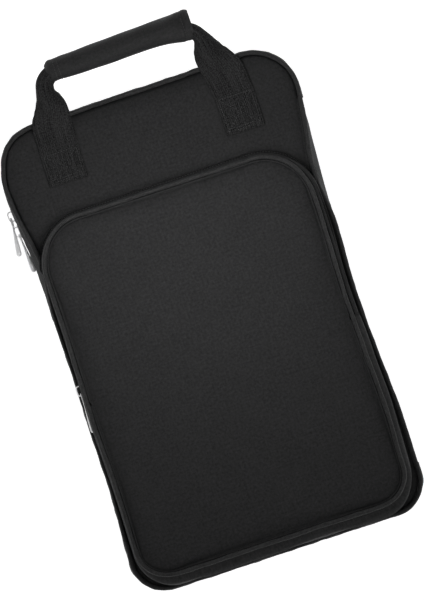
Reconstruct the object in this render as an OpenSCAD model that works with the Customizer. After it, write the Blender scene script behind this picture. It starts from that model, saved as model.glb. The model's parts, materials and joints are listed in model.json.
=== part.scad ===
// Padded drum stick bag: a clamshell case that lies on its back, front panel up.
// +Z is out of the front panel, +Y is towards the handle, +X is towards the sewn spine.
// The origin is on the back panel's outer face, under the middle of the case.

/* [Body] */
// Length from the bottom gusset face to the top gusset face
body_l = 465; // [450:1:480]
// Width at the waist, where the long sides curve in the most
waist_w = 281.2; // [276:0.2:290]
// Height of the waist, measured from the middle of the case
waist_y = -45; // [-60:1:-30]
// Radius of the long sides' inward curve
side_r = 2650; // [2300:10:3200]
// Radius of the two top corners
top_r = 46; // [40:1:52]
// Radius of the two bottom corners
bottom_r = 32; // [28:1:38]
// Depth of one half, from its panel's outer face to the middle of the zip
half_depth = 28; // [27:0.5:32]

/* [Walls and padding] */
// Thickness of the outer panel fabric
fabric_t = 1.2; // [0.8:0.1:1.5]
// Thickness of the foam sheet behind each main panel
foam_t = 5; // [4:0.5:6]
// Thickness of the lining
lining_t = 0.8; // [0.5:0.1:1]
// Thickness of the padded gusset wall
wall_t = 2.4; // [2:0.1:3]
// How far the piping stands out past the gusset
piping_out = 1.6; // [1.2:0.1:2.5]
// Height of the piping's solid
piping_h = 4.5; // [4:0.1:5]
// Width of the tape that binds the inner seams
binding_w = 5; // [4:0.5:6]
// Thickness of that tape, folded over the seam
binding_t = 2; // [1.5:0.1:2.2]

/* [Main zip] */
// Width of one coil along Z
coil_w = 2.8; // [2.4:0.1:3]
// How far the coil stands out past the gusset face
coil_out = 0.3; // [0.1:0.1:0.4]
// Clear space between the two coils
coil_gap = 1.6; // [1.4:0.1:1.8]
// Thickness of the zip tape
tape_t = 0.8; // [0.6:0.1:1]
// Width of one tape
tape_w = 12; // [10:0.5:13]
// Lower end of the spine gusset, where the zip ends
spine_bottom = -193; // [-196:1:-185]
// Upper end of the spine gusset, where the zip ends
spine_top = 177; // [165:1:180]

/* [Front pocket] */
// Width across the pocket's gusset
pocket_w = 268; // [262:1:270]
// Sideways place of the pocket's middle
pocket_x = -3; // [-4:0.5:2]
// Top face of the pocket's gusset
pocket_top = 135; // [128:1:140]
// Bottom face of the pocket's gusset
pocket_bottom = -223; // [-226:1:-215]
// Radius of the pocket's top corners
pocket_top_r = 47; // [40:1:52]
// Radius of the pocket's bottom corners
pocket_bottom_r = 33; // [28:1:38]
// Depth of the pocket, from the front panel to the pocket panel's outer face
pocket_d = 22; // [21:0.5:26]
// Thickness of the pocket's gusset
pocket_wall_t = 1.6; // [1.2:0.1:2]
// Thickness of the pocket's padded panel
pocket_panel_t = 3; // [2.5:0.1:3.5]
// How far the pocket's piping stands out past its gusset
pocket_piping_out = 1.5; // [1:0.1:1.8]
// Level at which the zip ends on both sides and the pocket's upper part folds down
fold_y = -38; // [-50:1:-33]

/* [Handle] */
// Width of the handle's webbing
webbing_w = 38; // [36:0.5:40]
// Thickness of the webbing
webbing_t = 2; // [1.6:0.1:2.4]
// Middle of the left webbing leg on the panel
left_leg_x = -87.5; // [-92:0.5:-82]
// Middle of the right webbing leg on the panel
right_leg_x = 89.5; // [84:0.5:92]
// Lower end of the left leg
left_leg_y = 171; // [160:1:180]
// Lower end of the right leg
right_leg_y = 164; // [160:1:180]
// Distance of the grip's middle line from the middle of the case
grip_y = 278.5; // [274:0.5:285]
// Outer diameter of the grip
grip_d = 23.6; // [21:0.2:26]
// Left end of the grip
grip_left = -74; // [-76:0.5:-72]
// Right end of the grip
grip_right = 70.6; // [69:0.2:74]

/* [Stick sleeves] */
// Number of stick channels in the back half
back_channels = 4; // [3:1:5]
// Number of wider mallet channels in the front half
front_channels = 3; // [2:1:4]
// Height of a channel above the lining
sleeve_h = 16; // [14:0.5:17]
// Closed lower end of the sleeves
sleeve_bottom = -214; // [-218:1:-205]
// Open mouth of the sleeves
sleeve_mouth = 72; // [40:1:100]

/* [Sliders and pulls] */
// Length of a slider
slider_l = 14; // [12:0.5:15]
// Width of a slider
slider_w = 11; // [10:0.5:11.5]
// Middle of the upper main slider, along the case
slider_a_y = 157.5; // [156.5:0.5:165]
// Middle of the lower main slider, along the case
slider_b_y = 141.5; // [130:0.5:142]
// Middle of the pocket slider, along the case
pocket_slider_y = -24; // [-28:0.5:-10]
// Height of the bridge that holds the pull
bridge_h = 5; // [4.8:0.1:5.5]
// Length of a pull from its pin to its tip
pull_l = 39; // [34:0.5:42]
// Thickness of the pull's drop-shaped end
pull_d = 5.2; // [4.5:0.1:5.6]
// Angle at which the upper pull hangs away from the side of the case
pull_a_lean = 9; // [8:1:20]
// Angle at which the upper pull hangs beside the lower slider
pull_a_skew = 20; // [20:1:25]

/* [Hidden] */

$fn = 48;
// Straight pieces that stand for each corner and each long side
corner_steps = 8;
side_steps = 22;

body_depth = 2 * half_depth;
top_y = body_l / 2;
waist = waist_w / 2;
liner_top = fabric_t + foam_t + lining_t;
// Clearance between pieces that move apart
clear = 0.4;
coil_top = half_depth - coil_gap / 2;
coil_bottom = coil_top - coil_w;
gusset_top = coil_bottom - 1;
tape_bottom = coil_top - tape_w;
// Parts that lie behind the wall, counted inwards from its outer face
tape_in = wall_t + tape_t;
// Box that cuts the spine's stretch out of a ring
cut_x = waist - 25;

// Pocket levels
pocket_floor = body_depth;
pocket_face = body_depth + pocket_d;
pocket_mid = body_depth + pocket_d / 2;
pocket_coil_w = 2.6;
pocket_coil_low = pocket_mid - coil_gap / 2 - pocket_coil_w;
pocket_coil_high = pocket_mid + coil_gap / 2;
pocket_under_panel = pocket_face - pocket_panel_t;

// Handle levels
hinge_y = top_y + piping_out + 1.4;
hinge_z = body_depth + 1.5 * webbing_t + clear;
core_w = 16;
core_t = 4;
grip_foam_d = grip_d - 3.6;

// How far a tunnel's sides lean in
tunnel_lean = 6;

// Slider levels, counted outwards from the gusset's outer face
plate_t = 1.6;
plate_gap = 0.7;
plate_out = coil_out + plate_gap;
bridge_base = plate_out + plate_t;
bridge_l = 10.5;
bridge_w = 2.2;
bridge_t = 1.1;
pin_d = 1.6;
pin_low = [-1.3, -3.1];
pin_high = [-2.6, -2.7];

// ---------------------------------------------------------------- outlines

function arc(c, r, a0, a1, n) = [for (i = [0:n]) c + r * [cos(a0 + (a1 - a0) * i / n),
    sin(a0 + (a1 - a0) * i / n)]];

// A corner circle touches the flat end and the long side's curve
function corner_centre(r, cy) = [waist + side_r
    - sqrt(pow(side_r + r, 2) - pow(cy - waist_y, 2)), cy];
function touch_angle(r, cy) = asin((waist_y - cy) / (side_r + r));

// Right half of the case's outline, moved inwards by d
function right_half(d) = let(
    ct = corner_centre(top_r, top_y - top_r),
    cb = corner_centre(bottom_r, bottom_r - top_y),
    at = touch_angle(top_r, top_y - top_r),
    ab = touch_angle(bottom_r, bottom_r - top_y),
    side = arc([waist + side_r, waist_y], side_r + d, 180 + ab, 180 + at, side_steps))
    concat(arc(cb, bottom_r - d, -90, ab, corner_steps),
        [for (i = [1:side_steps - 1]) side[i]],
        arc(ct, top_r - d, at, 90, corner_steps));

function outline(d) = let(h = right_half(d), n = len(h))
    concat(h, [for (i = [n - 1:-1:0]) [-h[i][0], h[i][1]]]);

// Pocket's outline: straight sides, rounder at the top
function pocket_outline(d) = let(
    w = pocket_w / 2,
    tx = w - pocket_top_r,
    bx = w - pocket_bottom_r,
    ty = pocket_top - pocket_top_r,
    by = pocket_bottom + pocket_bottom_r,
    rt = pocket_top_r - d,
    rb = pocket_bottom_r - d)
    [for (p = concat(arc([bx, by], rb, -90, 0, corner_steps),
        arc([tx, ty], rt, 0, 90, corner_steps),
        arc([-tx, ty], rt, 90, 180, corner_steps),
        arc([-bx, by], rb, 180, 270, corner_steps))) p + [pocket_x, 0]];

module slab(d, z0, z1) {
    translate([0, 0, z0]) linear_extrude(z1 - z0) polygon(outline(d));
}

module ring(d_out, d_in, z0, z1) {
    translate([0, 0, z0]) linear_extrude(z1 - z0) difference() {
        polygon(outline(d_out));
        polygon(outline(d_in));
    }
}

module spine_box(grow) {
    translate([cut_x, spine_bottom - grow, -1])
        cube([50, spine_top - spine_bottom + 2 * grow, body_depth + 2]);
}

// A ring that stops at both ends of the spine
module open_ring(d_out, d_in, z0, z1) {
    difference() {
        ring(d_out, d_in, z0, z1);
        spine_box(0);
    }
}

module pocket_ring(d_out, d_in, z0, z1) {
    translate([0, 0, z0]) linear_extrude(z1 - z0) difference() {
        polygon(pocket_outline(d_out));
        polygon(pocket_outline(d_in));
    }
}

// Keeps the part above the pocket's fold line (side = 1) or below it (side = -1)
module pocket_side(side) {
    intersection() {
        children();
        translate([-200, side > 0 ? fold_y + clear / 2 : fold_y - 300, 0])
            cube([400, 300 - clear / 2, 200]);
    }
}

// ---------------------------------------------------------------- back half

module back_panel() {
    color("#2b2b2d") slab(0, 0, fabric_t);
}

module back_foam() {
    color("#55585a") slab(wall_t + clear, fabric_t, fabric_t + foam_t);
}

module back_lining() {
    color("#1c1c1e") slab(wall_t + clear, fabric_t + foam_t, liner_top);
}

// Side wall of one half; behind the piping it runs on past the spine
module half_gusset() {
    ring(0, wall_t, fabric_t, piping_h);
    open_ring(0, wall_t, piping_h, gusset_top);
}

module back_gusset() {
    color("#29292b") half_gusset();
}

module back_piping() {
    color("#3a3a3c") ring(-piping_out, 0, clear, piping_h);
}

module back_seam_binding() {
    color("#151516") open_ring(wall_t + 0.1, wall_t + binding_t, liner_top,
        liner_top + binding_w);
}

module main_zip_tape_back() {
    color("#222224") open_ring(wall_t, tape_in, tape_bottom, coil_top - 0.2);
}

module main_zip_coil_back() {
    color("#111112") open_ring(-coil_out, wall_t, coil_bottom, coil_top);
}

// ---------------------------------------------------------------- stick sleeves

// Flat-topped tunnel with leaning sides; a is half its width at the foot
function tunnel(a, h) = [[a, 0], [a - tunnel_lean, h], [tunnel_lean - a, h], [-a, 0]];

// Row of tunnels sewn to the lining between them; h is their height, grow thickens them
module tunnels(n, h, grow, y0, y1, closed) {
    pitch = (waist_w - 20) / n;
    a = pitch / 2 - 2.5;
    for (i = [0:n - 1]) translate([(i - (n - 1) / 2) * pitch, y1, 0]) rotate([90, 0, 0]) {
        linear_extrude(y1 - y0) difference() {
            polygon(tunnel(a + grow, h + grow));
            translate([0, -0.01]) polygon(tunnel(a - 1, h - 1));
        }
        if (closed) translate([0, 0, y1 - y0 - 1]) linear_extrude(1) polygon(tunnel(a, h));
    }
}

module seam_strips(n, y0, y1) {
    pitch = (waist_w - 20) / n;
    for (i = [1:n - 1]) translate([(i - n / 2) * pitch - 2.6, y0, 0])
        cube([5.2, y1 - y0, 1]);
}

module stick_sleeve(n) {
    tunnels(n, sleeve_h, 0, sleeve_bottom, sleeve_mouth, true);
    seam_strips(n, sleeve_bottom, sleeve_mouth);
}

module sleeve_binding(n) {
    tunnels(n, sleeve_h, 0.8, sleeve_mouth, sleeve_mouth + 9, false);
}

module back_stick_sleeve() {
    color("#242427") translate([0, 0, liner_top]) stick_sleeve(back_channels);
}

module back_sleeve_binding() {
    color("#151516") translate([0, 0, liner_top]) sleeve_binding(back_channels);
}

module front_stick_sleeve() {
    color("#242427") flip() translate([0, 0, liner_top]) stick_sleeve(front_channels);
}

module front_sleeve_binding() {
    color("#151516") flip() translate([0, 0, liner_top]) sleeve_binding(front_channels);
}

// The front half is the back half turned over about the zip's plane
module flip() {
    translate([0, 0, body_depth]) mirror([0, 0, 1]) children();
}

// ---------------------------------------------------------------- spine

module spine_gusset() {
    color("#29292b") intersection() {
        ring(0, wall_t, piping_h + clear, body_depth - piping_h - clear);
        spine_box(-clear);
    }
}

// Fabric tabs over both ends of the main zip
module zip_end_tabs() {
    color("#242426") for (y = [spine_bottom + 1, spine_top - 11]) intersection() {
        ring(-1, 0, half_depth - 8, half_depth + 8);
        translate([cut_x, y, 0]) cube([50, 10, body_depth]);
    }
}

// ---------------------------------------------------------------- front half

module front_panel() {
    color("#2b2b2d") flip() slab(0, 0, fabric_t);
}

module front_foam() {
    color("#55585a") flip() slab(wall_t + clear, fabric_t, fabric_t + foam_t);
}

module front_lining() {
    color("#1c1c1e") flip() slab(wall_t + clear, fabric_t + foam_t, liner_top);
}

module front_gusset() {
    color("#29292b") flip() half_gusset();
}

module front_piping() {
    color("#3a3a3c") flip() ring(-piping_out, 0, 0, piping_h);
}

module front_seam_binding() {
    color("#151516") flip() open_ring(wall_t + 0.1, wall_t + binding_t, liner_top,
        liner_top + binding_w);
}

module main_zip_tape_front() {
    color("#222224") flip() open_ring(wall_t, tape_in, tape_bottom, coil_top - 0.2);
}

module main_zip_coil_front() {
    color("#111112") flip() open_ring(-coil_out, wall_t, coil_bottom, coil_top);
}

// ---------------------------------------------------------------- front pocket

module pocket_gusset_lower() {
    color("#29292b") {
        pocket_ring(0, pocket_wall_t, pocket_floor, pocket_coil_low - 0.8);
        pocket_side(-1) pocket_ring(0, pocket_wall_t, pocket_coil_low - 0.8,
            pocket_under_panel);
    }
}

module pocket_zip_tape_lower() {
    color("#222224") pocket_side(1) pocket_ring(pocket_wall_t, pocket_wall_t + tape_t,
        pocket_floor + 3, pocket_coil_low + pocket_coil_w - 0.2);
}

module pocket_zip_coil_lower() {
    color("#111112") pocket_side(1) pocket_ring(-coil_out, pocket_wall_t,
        pocket_coil_low, pocket_coil_low + pocket_coil_w);
}

module pocket_panel_lower() {
    color("#2b2b2d") pocket_side(-1) translate([0, 0, pocket_under_panel])
        linear_extrude(pocket_panel_t) polygon(pocket_outline(0));
}

module pocket_piping_lower() {
    color("#3a3a3c") pocket_side(-1) pocket_ring(-pocket_piping_out, 0,
        pocket_face - 4, pocket_face);
}

// Cross tabs sewn over the two ends of the pocket's zip
module pocket_zip_end_tabs() {
    color("#242426") intersection() {
        pocket_ring(-1, 0, pocket_coil_low - 1.5, pocket_face - 4.4);
        translate([-200, fold_y - 8, 0]) cube([400, 8 - clear, 200]);
    }
}

module pocket_panel_upper() {
    color("#2b2b2d") pocket_side(1) translate([0, 0, pocket_under_panel])
        linear_extrude(pocket_panel_t) polygon(pocket_outline(0));
}

module pocket_gusset_upper() {
    color("#29292b") pocket_side(1) pocket_ring(0, pocket_wall_t,
        pocket_coil_high + pocket_coil_w + 0.8, pocket_under_panel);
}

module pocket_zip_tape_upper() {
    color("#222224") pocket_side(1) pocket_ring(pocket_wall_t, pocket_wall_t + tape_t,
        pocket_coil_high + 0.2, pocket_under_panel);
}

module pocket_zip_coil_upper() {
    color("#111112") pocket_side(1) pocket_ring(-coil_out, pocket_wall_t,
        pocket_coil_high, pocket_coil_high + pocket_coil_w);
}

module pocket_piping_upper() {
    color("#3a3a3c") pocket_side(1) pocket_ring(-pocket_piping_out, 0,
        pocket_face - 4, pocket_face);
}

// ---------------------------------------------------------------- handle

// Webbing leg sewn flat on the front panel, ending just past the piping
module handle_anchor(x, y) {
    color("#333335") translate([x - webbing_w / 2, y, body_depth])
        cube([webbing_w, top_y + piping_out - y, webbing_t]);
}

module handle_anchor_left() {
    handle_anchor(left_leg_x, left_leg_y);
}

module handle_anchor_right() {
    handle_anchor(right_leg_x, right_leg_y);
}

// Free leg: full width at the case, folded narrow where it enters the grip
module free_leg(side, end_x) {
    base = 84.5 * side;
    half = webbing_w / 2;
    step = 4.5 * side;
    translate([0, 0, hinge_z - webbing_t / 2]) linear_extrude(webbing_t) polygon([
        [base + half * side, hinge_y], [base - half * side, hinge_y],
        [end_x, hinge_y + 26], [end_x, grip_y + core_w / 2],
        [end_x + step, grip_y + core_w / 2], [end_x + 3.4 * step, hinge_y + 28]]);
    translate([base - half, hinge_y, hinge_z]) rotate([0, 90, 0])
        cylinder(h = webbing_w, d = webbing_t);
}

module strap_core() {
    translate([grip_left, grip_y - core_w / 2, hinge_z - core_t / 2])
        cube([grip_right - grip_left, core_w, core_t]);
}

module handle_strap() {
    color("#333335") {
        free_leg(-1, grip_left);
        free_leg(1, grip_right);
        strap_core();
    }
}

module grip_bar(d, grow) {
    translate([grip_left + 0.5 - grow, grip_y, hinge_z]) rotate([0, 90, 0])
        cylinder(h = grip_right - grip_left - 1 + 2 * grow, d = d);
}

module handle_grip_foam() {
    color("#55585a") difference() {
        grip_bar(grip_foam_d, 0);
        strap_core();
    }
}

module handle_grip_sleeve() {
    color("#3a3a3c") difference() {
        grip_bar(grip_d, 0);
        grip_bar(grip_foam_d, 1);
    }
}

// ---------------------------------------------------------------- sliders and pulls

// Puts a piece at height y on the zip's curved left run, its -X side facing out
module on_left_side(y) {
    translate([-waist - side_r, waist_y, half_depth])
        rotate([0, 0, asin((y - waist_y) / side_r)]) translate([side_r, 0, 0]) children();
}

module on_pocket_side(y) {
    translate([pocket_x - pocket_w / 2, y, pocket_mid]) children();
}

module rounded_bar(l, w, r) {
    square([w - 2 * r, l], center = true);
    square([w, l - 2 * r], center = true);
    for (x = [-1, 1], y = [-1, 1]) translate([x * (w / 2 - r), y * (l / 2 - r)]) circle(r);
}

module plate(x) {
    translate([x, 0, 0]) rotate([0, 90, 0]) linear_extrude(plate_t)
        rounded_bar(slider_l, slider_w, 3);
}

module bridge_shape(h, l, r) {
    translate([r - h, -l / 2]) square([h - r, l]);
    translate([-h, r - l / 2]) square([h, l - 2 * r]);
    for (s = [-1, 1]) translate([r - h, s * (l / 2 - r)]) circle(r);
}

// Two plates that straddle the coils, the post between them and the bridge;
// in_gap is how far the inner plate lies behind the wall, mouth is the side of the post
module slider(in_gap, mouth) {
    color("#c9cacc") {
        plate(-bridge_base);
        plate(in_gap);
        translate([-plate_out - 0.1, mouth * (slider_l / 2 - 3) - 1.5, -0.5])
            cube([in_gap + plate_out + 0.2, 3, 1]);
        translate([-bridge_base, 0, -bridge_w / 2]) linear_extrude(bridge_w) difference() {
            bridge_shape(bridge_h, bridge_l, 3);
            translate([0.1, 0]) bridge_shape(bridge_h - bridge_t + 0.1,
                bridge_l - 2 * bridge_t, 1.9);
        }
    }
}

// Radius of the drop-shaped end at t, from its neck (0) to its widest place (1)
function drop_r(t) = 0.9 + (pull_d / 2 - 0.9) * (3 * t * t - 2 * t * t * t);

// Pin, open eye and drop-shaped end; it hangs from its pin towards -Y
module pull() {
    eye_w = 7;
    eye_l = 5.6;
    bar = 1.2;
    neck = eye_l + 0.6;
    end_r = pull_d / 2;
    drop_l = pull_l - neck - end_r;
    color("#d6d7d9") {
        translate([0, 0, -eye_w / 2]) cylinder(h = eye_w, d = pin_d);
        for (z = [-1, 1]) translate([-pin_d / 2, -eye_l, z * (eye_w - bar) / 2 - bar / 2])
            cube([pin_d, eye_l, bar]);
        translate([-pin_d / 2, -neck - 0.6, -eye_w / 2]) cube([pin_d, 1.6, eye_w]);
        translate([0, -neck, 0]) rotate([90, 0, 0]) rotate_extrude() polygon(concat([[0, 0]],
            [for (i = [0:12]) [drop_r(i / 12), drop_l * i / 12]],
            [for (p = arc([0, drop_l], end_r, 9, 90, 9)) [max(p[0], 0), p[1]]]));
    }
}

module pull_at(pin) {
    translate([pin[0] - bridge_base, pin[1], 0]) children();
}

module main_slider_a() {
    on_left_side(slider_a_y) slider(tape_in + plate_gap, -1);
}

module main_slider_b() {
    on_left_side(slider_b_y) slider(tape_in + plate_gap, 1);
}

module main_pull_a() {
    on_left_side(slider_a_y) pull_at(pin_high) rotate([-pull_a_skew, 0, 0])
        rotate([0, 0, -pull_a_lean]) pull();
}

module main_pull_b() {
    on_left_side(slider_b_y) pull_at(pin_low) pull();
}

module pocket_slider() {
    on_pocket_side(pocket_slider_y) slider(pocket_wall_t + tape_t + plate_gap, -1);
}

module pocket_pull() {
    on_pocket_side(pocket_slider_y) pull_at(pin_low) pull();
}

// ---------------------------------------------------------------- nodes

back_panel();
back_foam();
back_lining();
back_gusset();
back_piping();
back_seam_binding();
main_zip_tape_back();
main_zip_coil_back();
back_stick_sleeve();
back_sleeve_binding();
spine_gusset();
zip_end_tabs();
front_panel();
front_foam();
front_lining();
front_gusset();
front_piping();
front_seam_binding();
main_zip_tape_front();
main_zip_coil_front();
front_stick_sleeve();
front_sleeve_binding();
handle_anchor_left();
handle_anchor_right();
pocket_gusset_lower();
pocket_zip_tape_lower();
pocket_zip_coil_lower();
pocket_panel_lower();
pocket_piping_lower();
pocket_zip_end_tabs();
pocket_panel_upper();
pocket_gusset_upper();
pocket_zip_tape_upper();
pocket_zip_coil_upper();
pocket_piping_upper();
handle_strap();
handle_grip_foam();
handle_grip_sleeve();
main_slider_a();
main_slider_b();
main_pull_a();
main_pull_b();
pocket_slider();
pocket_pull();
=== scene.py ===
"""Looks of the padded drum stick bag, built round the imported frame. Metres, in the frame's own axes."""

import json
import math

import bpy
import numpy as np
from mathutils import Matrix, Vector, geometry, noise
from mathutils.bvhtree import BVHTree


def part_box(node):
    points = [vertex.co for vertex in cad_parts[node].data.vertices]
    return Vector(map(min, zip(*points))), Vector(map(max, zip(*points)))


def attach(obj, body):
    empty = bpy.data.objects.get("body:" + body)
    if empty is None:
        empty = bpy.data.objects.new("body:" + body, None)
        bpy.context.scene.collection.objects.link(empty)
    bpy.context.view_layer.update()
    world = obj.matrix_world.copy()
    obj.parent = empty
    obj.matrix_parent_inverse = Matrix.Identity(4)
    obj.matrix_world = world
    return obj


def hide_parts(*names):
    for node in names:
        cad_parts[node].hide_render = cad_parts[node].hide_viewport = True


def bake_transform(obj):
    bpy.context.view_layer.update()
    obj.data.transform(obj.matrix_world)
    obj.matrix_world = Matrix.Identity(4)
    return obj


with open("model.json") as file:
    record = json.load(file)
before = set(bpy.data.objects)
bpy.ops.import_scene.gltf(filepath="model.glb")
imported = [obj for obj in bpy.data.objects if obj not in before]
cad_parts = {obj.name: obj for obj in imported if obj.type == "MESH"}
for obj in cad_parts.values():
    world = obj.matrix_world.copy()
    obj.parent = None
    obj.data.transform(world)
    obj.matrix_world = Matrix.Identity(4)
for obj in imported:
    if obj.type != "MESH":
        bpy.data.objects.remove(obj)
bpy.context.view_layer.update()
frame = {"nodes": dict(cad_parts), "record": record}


def low(node):
    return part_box(node)[0]


def high(node):
    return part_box(node)[1]


# ---------------------------------------------------------------- sizes

HALF_L = high("back_gusset").y
FRONT_Z = high("front_panel").z
ZIP_Z = FRONT_Z / 2
FACE_Z = high("pocket_panel_upper").z
SPINE_LOW, SPINE_HIGH = low("spine_gusset").y, high("spine_gusset").y
FOLD_Y = (low("pocket_panel_upper").y + high("pocket_panel_lower").y) / 2
LINING_Z = high("back_lining").z
SLEEVE_MOUTH = low("back_sleeve_binding").y

# Outline of the case: two long sides that curve in, and four round corners
WAIST = 0.1406
WAIST_Y = -0.045
SIDE_R = 2.65
TOP_R = 0.046
BOTTOM_R = 0.032

# Outline of the front pocket
POCKET_LEFT, POCKET_RIGHT = low("pocket_panel_lower").x, high("pocket_panel_lower").x
POCKET_TOP, POCKET_BOTTOM = high("pocket_panel_upper").y, low("pocket_panel_lower").y
POCKET_TOP_R = 0.047
POCKET_BOTTOM_R = 0.033

CORD_R = 0.0022
POCKET_CORD_R = 0.0021
WALL_T = 0.0020
STEP = 0.003
ARC_POINTS = 24


def smooth(t):
    """Soft step from 0 to 1 while t goes from 0 to 1."""
    t = np.clip(t, 0.0, 1.0)
    return t * t * (3 - 2 * t)


def bell(t):
    """Bell curve: 1 at t = 0, next to nothing beyond 2."""
    return np.exp(-(t**2))


def lengths(points):
    """Distance of each point along a line of points."""
    return np.concatenate([[0], np.cumsum(np.linalg.norm(np.diff(points, axis=0), axis=1))])


def unit(vectors):
    return vectors / np.linalg.norm(vectors, axis=1)[:, None]


def side_x(y):
    """Half width of the case at y, on its long sides."""
    return WAIST + SIDE_R - np.sqrt(SIDE_R**2 - (y - WAIST_Y) ** 2)


def arc(cx, cy, r, a0, a1):
    """Points of a circle's arc between two angles in degrees."""
    a = np.radians(np.linspace(a0, a1, ARC_POINTS))
    return np.stack([cx + r * np.cos(a), cy + r * np.sin(a)], 1)


def corner(r, cy):
    """Middle of a corner circle that touches the end and the long side, and the angle of that touch."""
    cx = WAIST + SIDE_R - math.sqrt((SIDE_R + r) ** 2 - (cy - WAIST_Y) ** 2)
    return cx, math.degrees(math.asin((WAIST_Y - cy) / (SIDE_R + r)))


def case_points():
    """Outline of the case, counter-clockwise from the spine's lower end."""
    top_cy, bottom_cy = HALF_L - TOP_R, BOTTOM_R - HALF_L
    top_cx, top_a = corner(TOP_R, top_cy)
    bottom_cx, bottom_a = corner(BOTTOM_R, bottom_cy)
    y_top = top_cy + TOP_R * math.sin(math.radians(top_a))
    y_bottom = bottom_cy + BOTTOM_R * math.sin(math.radians(bottom_a))

    def side(y0, y1, sign):
        y = np.linspace(y0, y1, 80)
        return np.stack([sign * side_x(y), y], 1)

    return np.vstack([
        side(SPINE_LOW, y_top, 1),
        arc(top_cx, top_cy, TOP_R, top_a, 90)[1:],
        arc(-top_cx, top_cy, TOP_R, 90, 180 - top_a),
        side(y_top, y_bottom, -1)[1:],
        arc(-bottom_cx, bottom_cy, BOTTOM_R, 180 - bottom_a, 270)[1:],
        arc(bottom_cx, bottom_cy, BOTTOM_R, 270, 360 + bottom_a),
        side(y_bottom, SPINE_LOW, 1)[1:-1],
    ])


def pocket_points():
    """Outline of the pocket, counter-clockwise from the fold on the right."""
    tr, br = POCKET_TOP_R, POCKET_BOTTOM_R
    return np.vstack([
        [[POCKET_RIGHT, FOLD_Y]],
        arc(POCKET_RIGHT - tr, POCKET_TOP - tr, tr, 0, 90),
        arc(POCKET_LEFT + tr, POCKET_TOP - tr, tr, 90, 180),
        [[POCKET_LEFT, FOLD_Y]],
        arc(POCKET_LEFT + br, POCKET_BOTTOM + br, br, 180, 270),
        arc(POCKET_RIGHT - br, POCKET_BOTTOM + br, br, 270, 360),
    ])


class Run:
    """Even points along an outline, with their outward normals and distances along it."""

    def __init__(self, points, closed=True, step=STEP):
        p = np.asarray(points, float)
        if closed:
            p = np.vstack([p, p[:1]])
        along = lengths(p)
        count = max(4, round(along[-1] / step))
        s = np.linspace(0, along[-1], count + 1)
        q = np.stack([np.interp(s, along, p[:, 0]), np.interp(s, along, p[:, 1])], 1)
        if closed:
            t = np.roll(q[:-1], -1, 0) - np.roll(q[:-1], 1, 0)
            t = np.vstack([t, t[:1]])
        else:
            t = np.gradient(q, axis=0)
        t = unit(t)
        self.p, self.n, self.s, self.closed = q, np.stack([t[:, 1], -t[:, 0]], 1), s, closed

    def cut(self, keep):
        """The stretch where keep is true, which is one unbroken stretch, as an open run."""
        part = Run.__new__(Run)
        part.p, part.n, part.s, part.closed = self.p[keep], self.n[keep], self.s[keep], False
        return part

    @property
    def x(self):
        return self.p[:, 0]

    @property
    def y(self):
        return self.p[:, 1]


CASE = Run(case_points())
SPINE = CASE.cut((CASE.x > 0) & (CASE.y > SPINE_LOW - 1e-6) & (CASE.y < SPINE_HIGH + 1e-6)
                 & (CASE.s < 0.5))
ZIPPED = CASE.cut(CASE.s > SPINE.s[-1] - 1e-6)
POCKET = Run(pocket_points())
FLAP_END = POCKET.s[np.argmin(np.hypot(POCKET.x - POCKET_LEFT, POCKET.y - FOLD_Y))]
FLAP = POCKET.cut(POCKET.s < FLAP_END + 1e-6)


# ---------------------------------------------------------------- how the soft case has settled

# Where the sewn shape has been pushed about: middle, spread, push, and the zip's share of that push
SETTLED = [
    ((0.128, 0.226), 0.045, (0.0016, 0.0030), 1.0),
    ((-0.010, 0.236), 0.050, (0.0, 0.0010), 0.0),
    ((-0.150, 0.203), 0.012, (0.0028, 0.0), 1.0),
    ((-0.152, 0.183), 0.018, (0.0014, 0.0), 0.0),
    ((0.152, 0.180), 0.020, (-0.0010, 0.0), 1.0),
    ((-0.146, -0.208), 0.040, (-0.0022, 0.0006), 0.0),
    ((0.140, -0.215), 0.045, (-0.0012, -0.0008), 0.0),
    ((-0.142, -0.060), 0.040, (-0.0016, 0.0), 0.0),
    ((0.144, -0.140), 0.038, (0.0020, 0.0), 0.0),
    ((0.142, -0.010), 0.030, (-0.0012, 0.0), 0.0),
    ((0.145, 0.060), 0.030, (0.0010, 0.0), 0.0),
]
SLIDER_ROOM = 0.006
SETTLE_FADE = 0.009


def settle(co):
    """Moves points a few millimetres in plan, as the bag's soft corners have moved."""
    out = co.copy()
    off_zip = smooth((np.abs(co[:, 2] - ZIP_Z) - SLIDER_ROOM) / SETTLE_FADE)
    for (mx, my), spread, (dx, dy), zip_share in SETTLED:
        w = np.exp(-((co[:, 0] - mx) ** 2 + (co[:, 1] - my) ** 2) / (2 * spread**2))
        w *= zip_share + (1 - zip_share) * off_zip
        out[:, 0] += dx * w
        out[:, 1] += dy * w
    return out


def front_inset(run):
    """How far the front edge is drawn in: most beside the pocket's top corners, where the pocket pulls
    on it, and a little outwards below them."""
    side = np.abs(run.x) > 0.125
    drawn = bell((run.y - 0.107) / 0.038)
    below = smooth((0.150 - run.y) / 0.050) * smooth((run.y + 0.205) / 0.060)
    return np.where(side, 0.0060 * drawn - 0.0008 * (1 - drawn) * below, 0.0)


def ripple(s, waves, seed):
    """Sum of soft waves along a seam: (length, height) pairs."""
    out = np.zeros_like(s)
    for i, (length, height) in enumerate(waves):
        drift = 1.7 * np.sin(s * (2 * math.pi / (length * 5.3)) + seed + i)
        out += height * np.sin(2 * math.pi * s / length + drift + 2.1 * i + seed)
    return out


# ---------------------------------------------------------------- mesh tools

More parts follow.
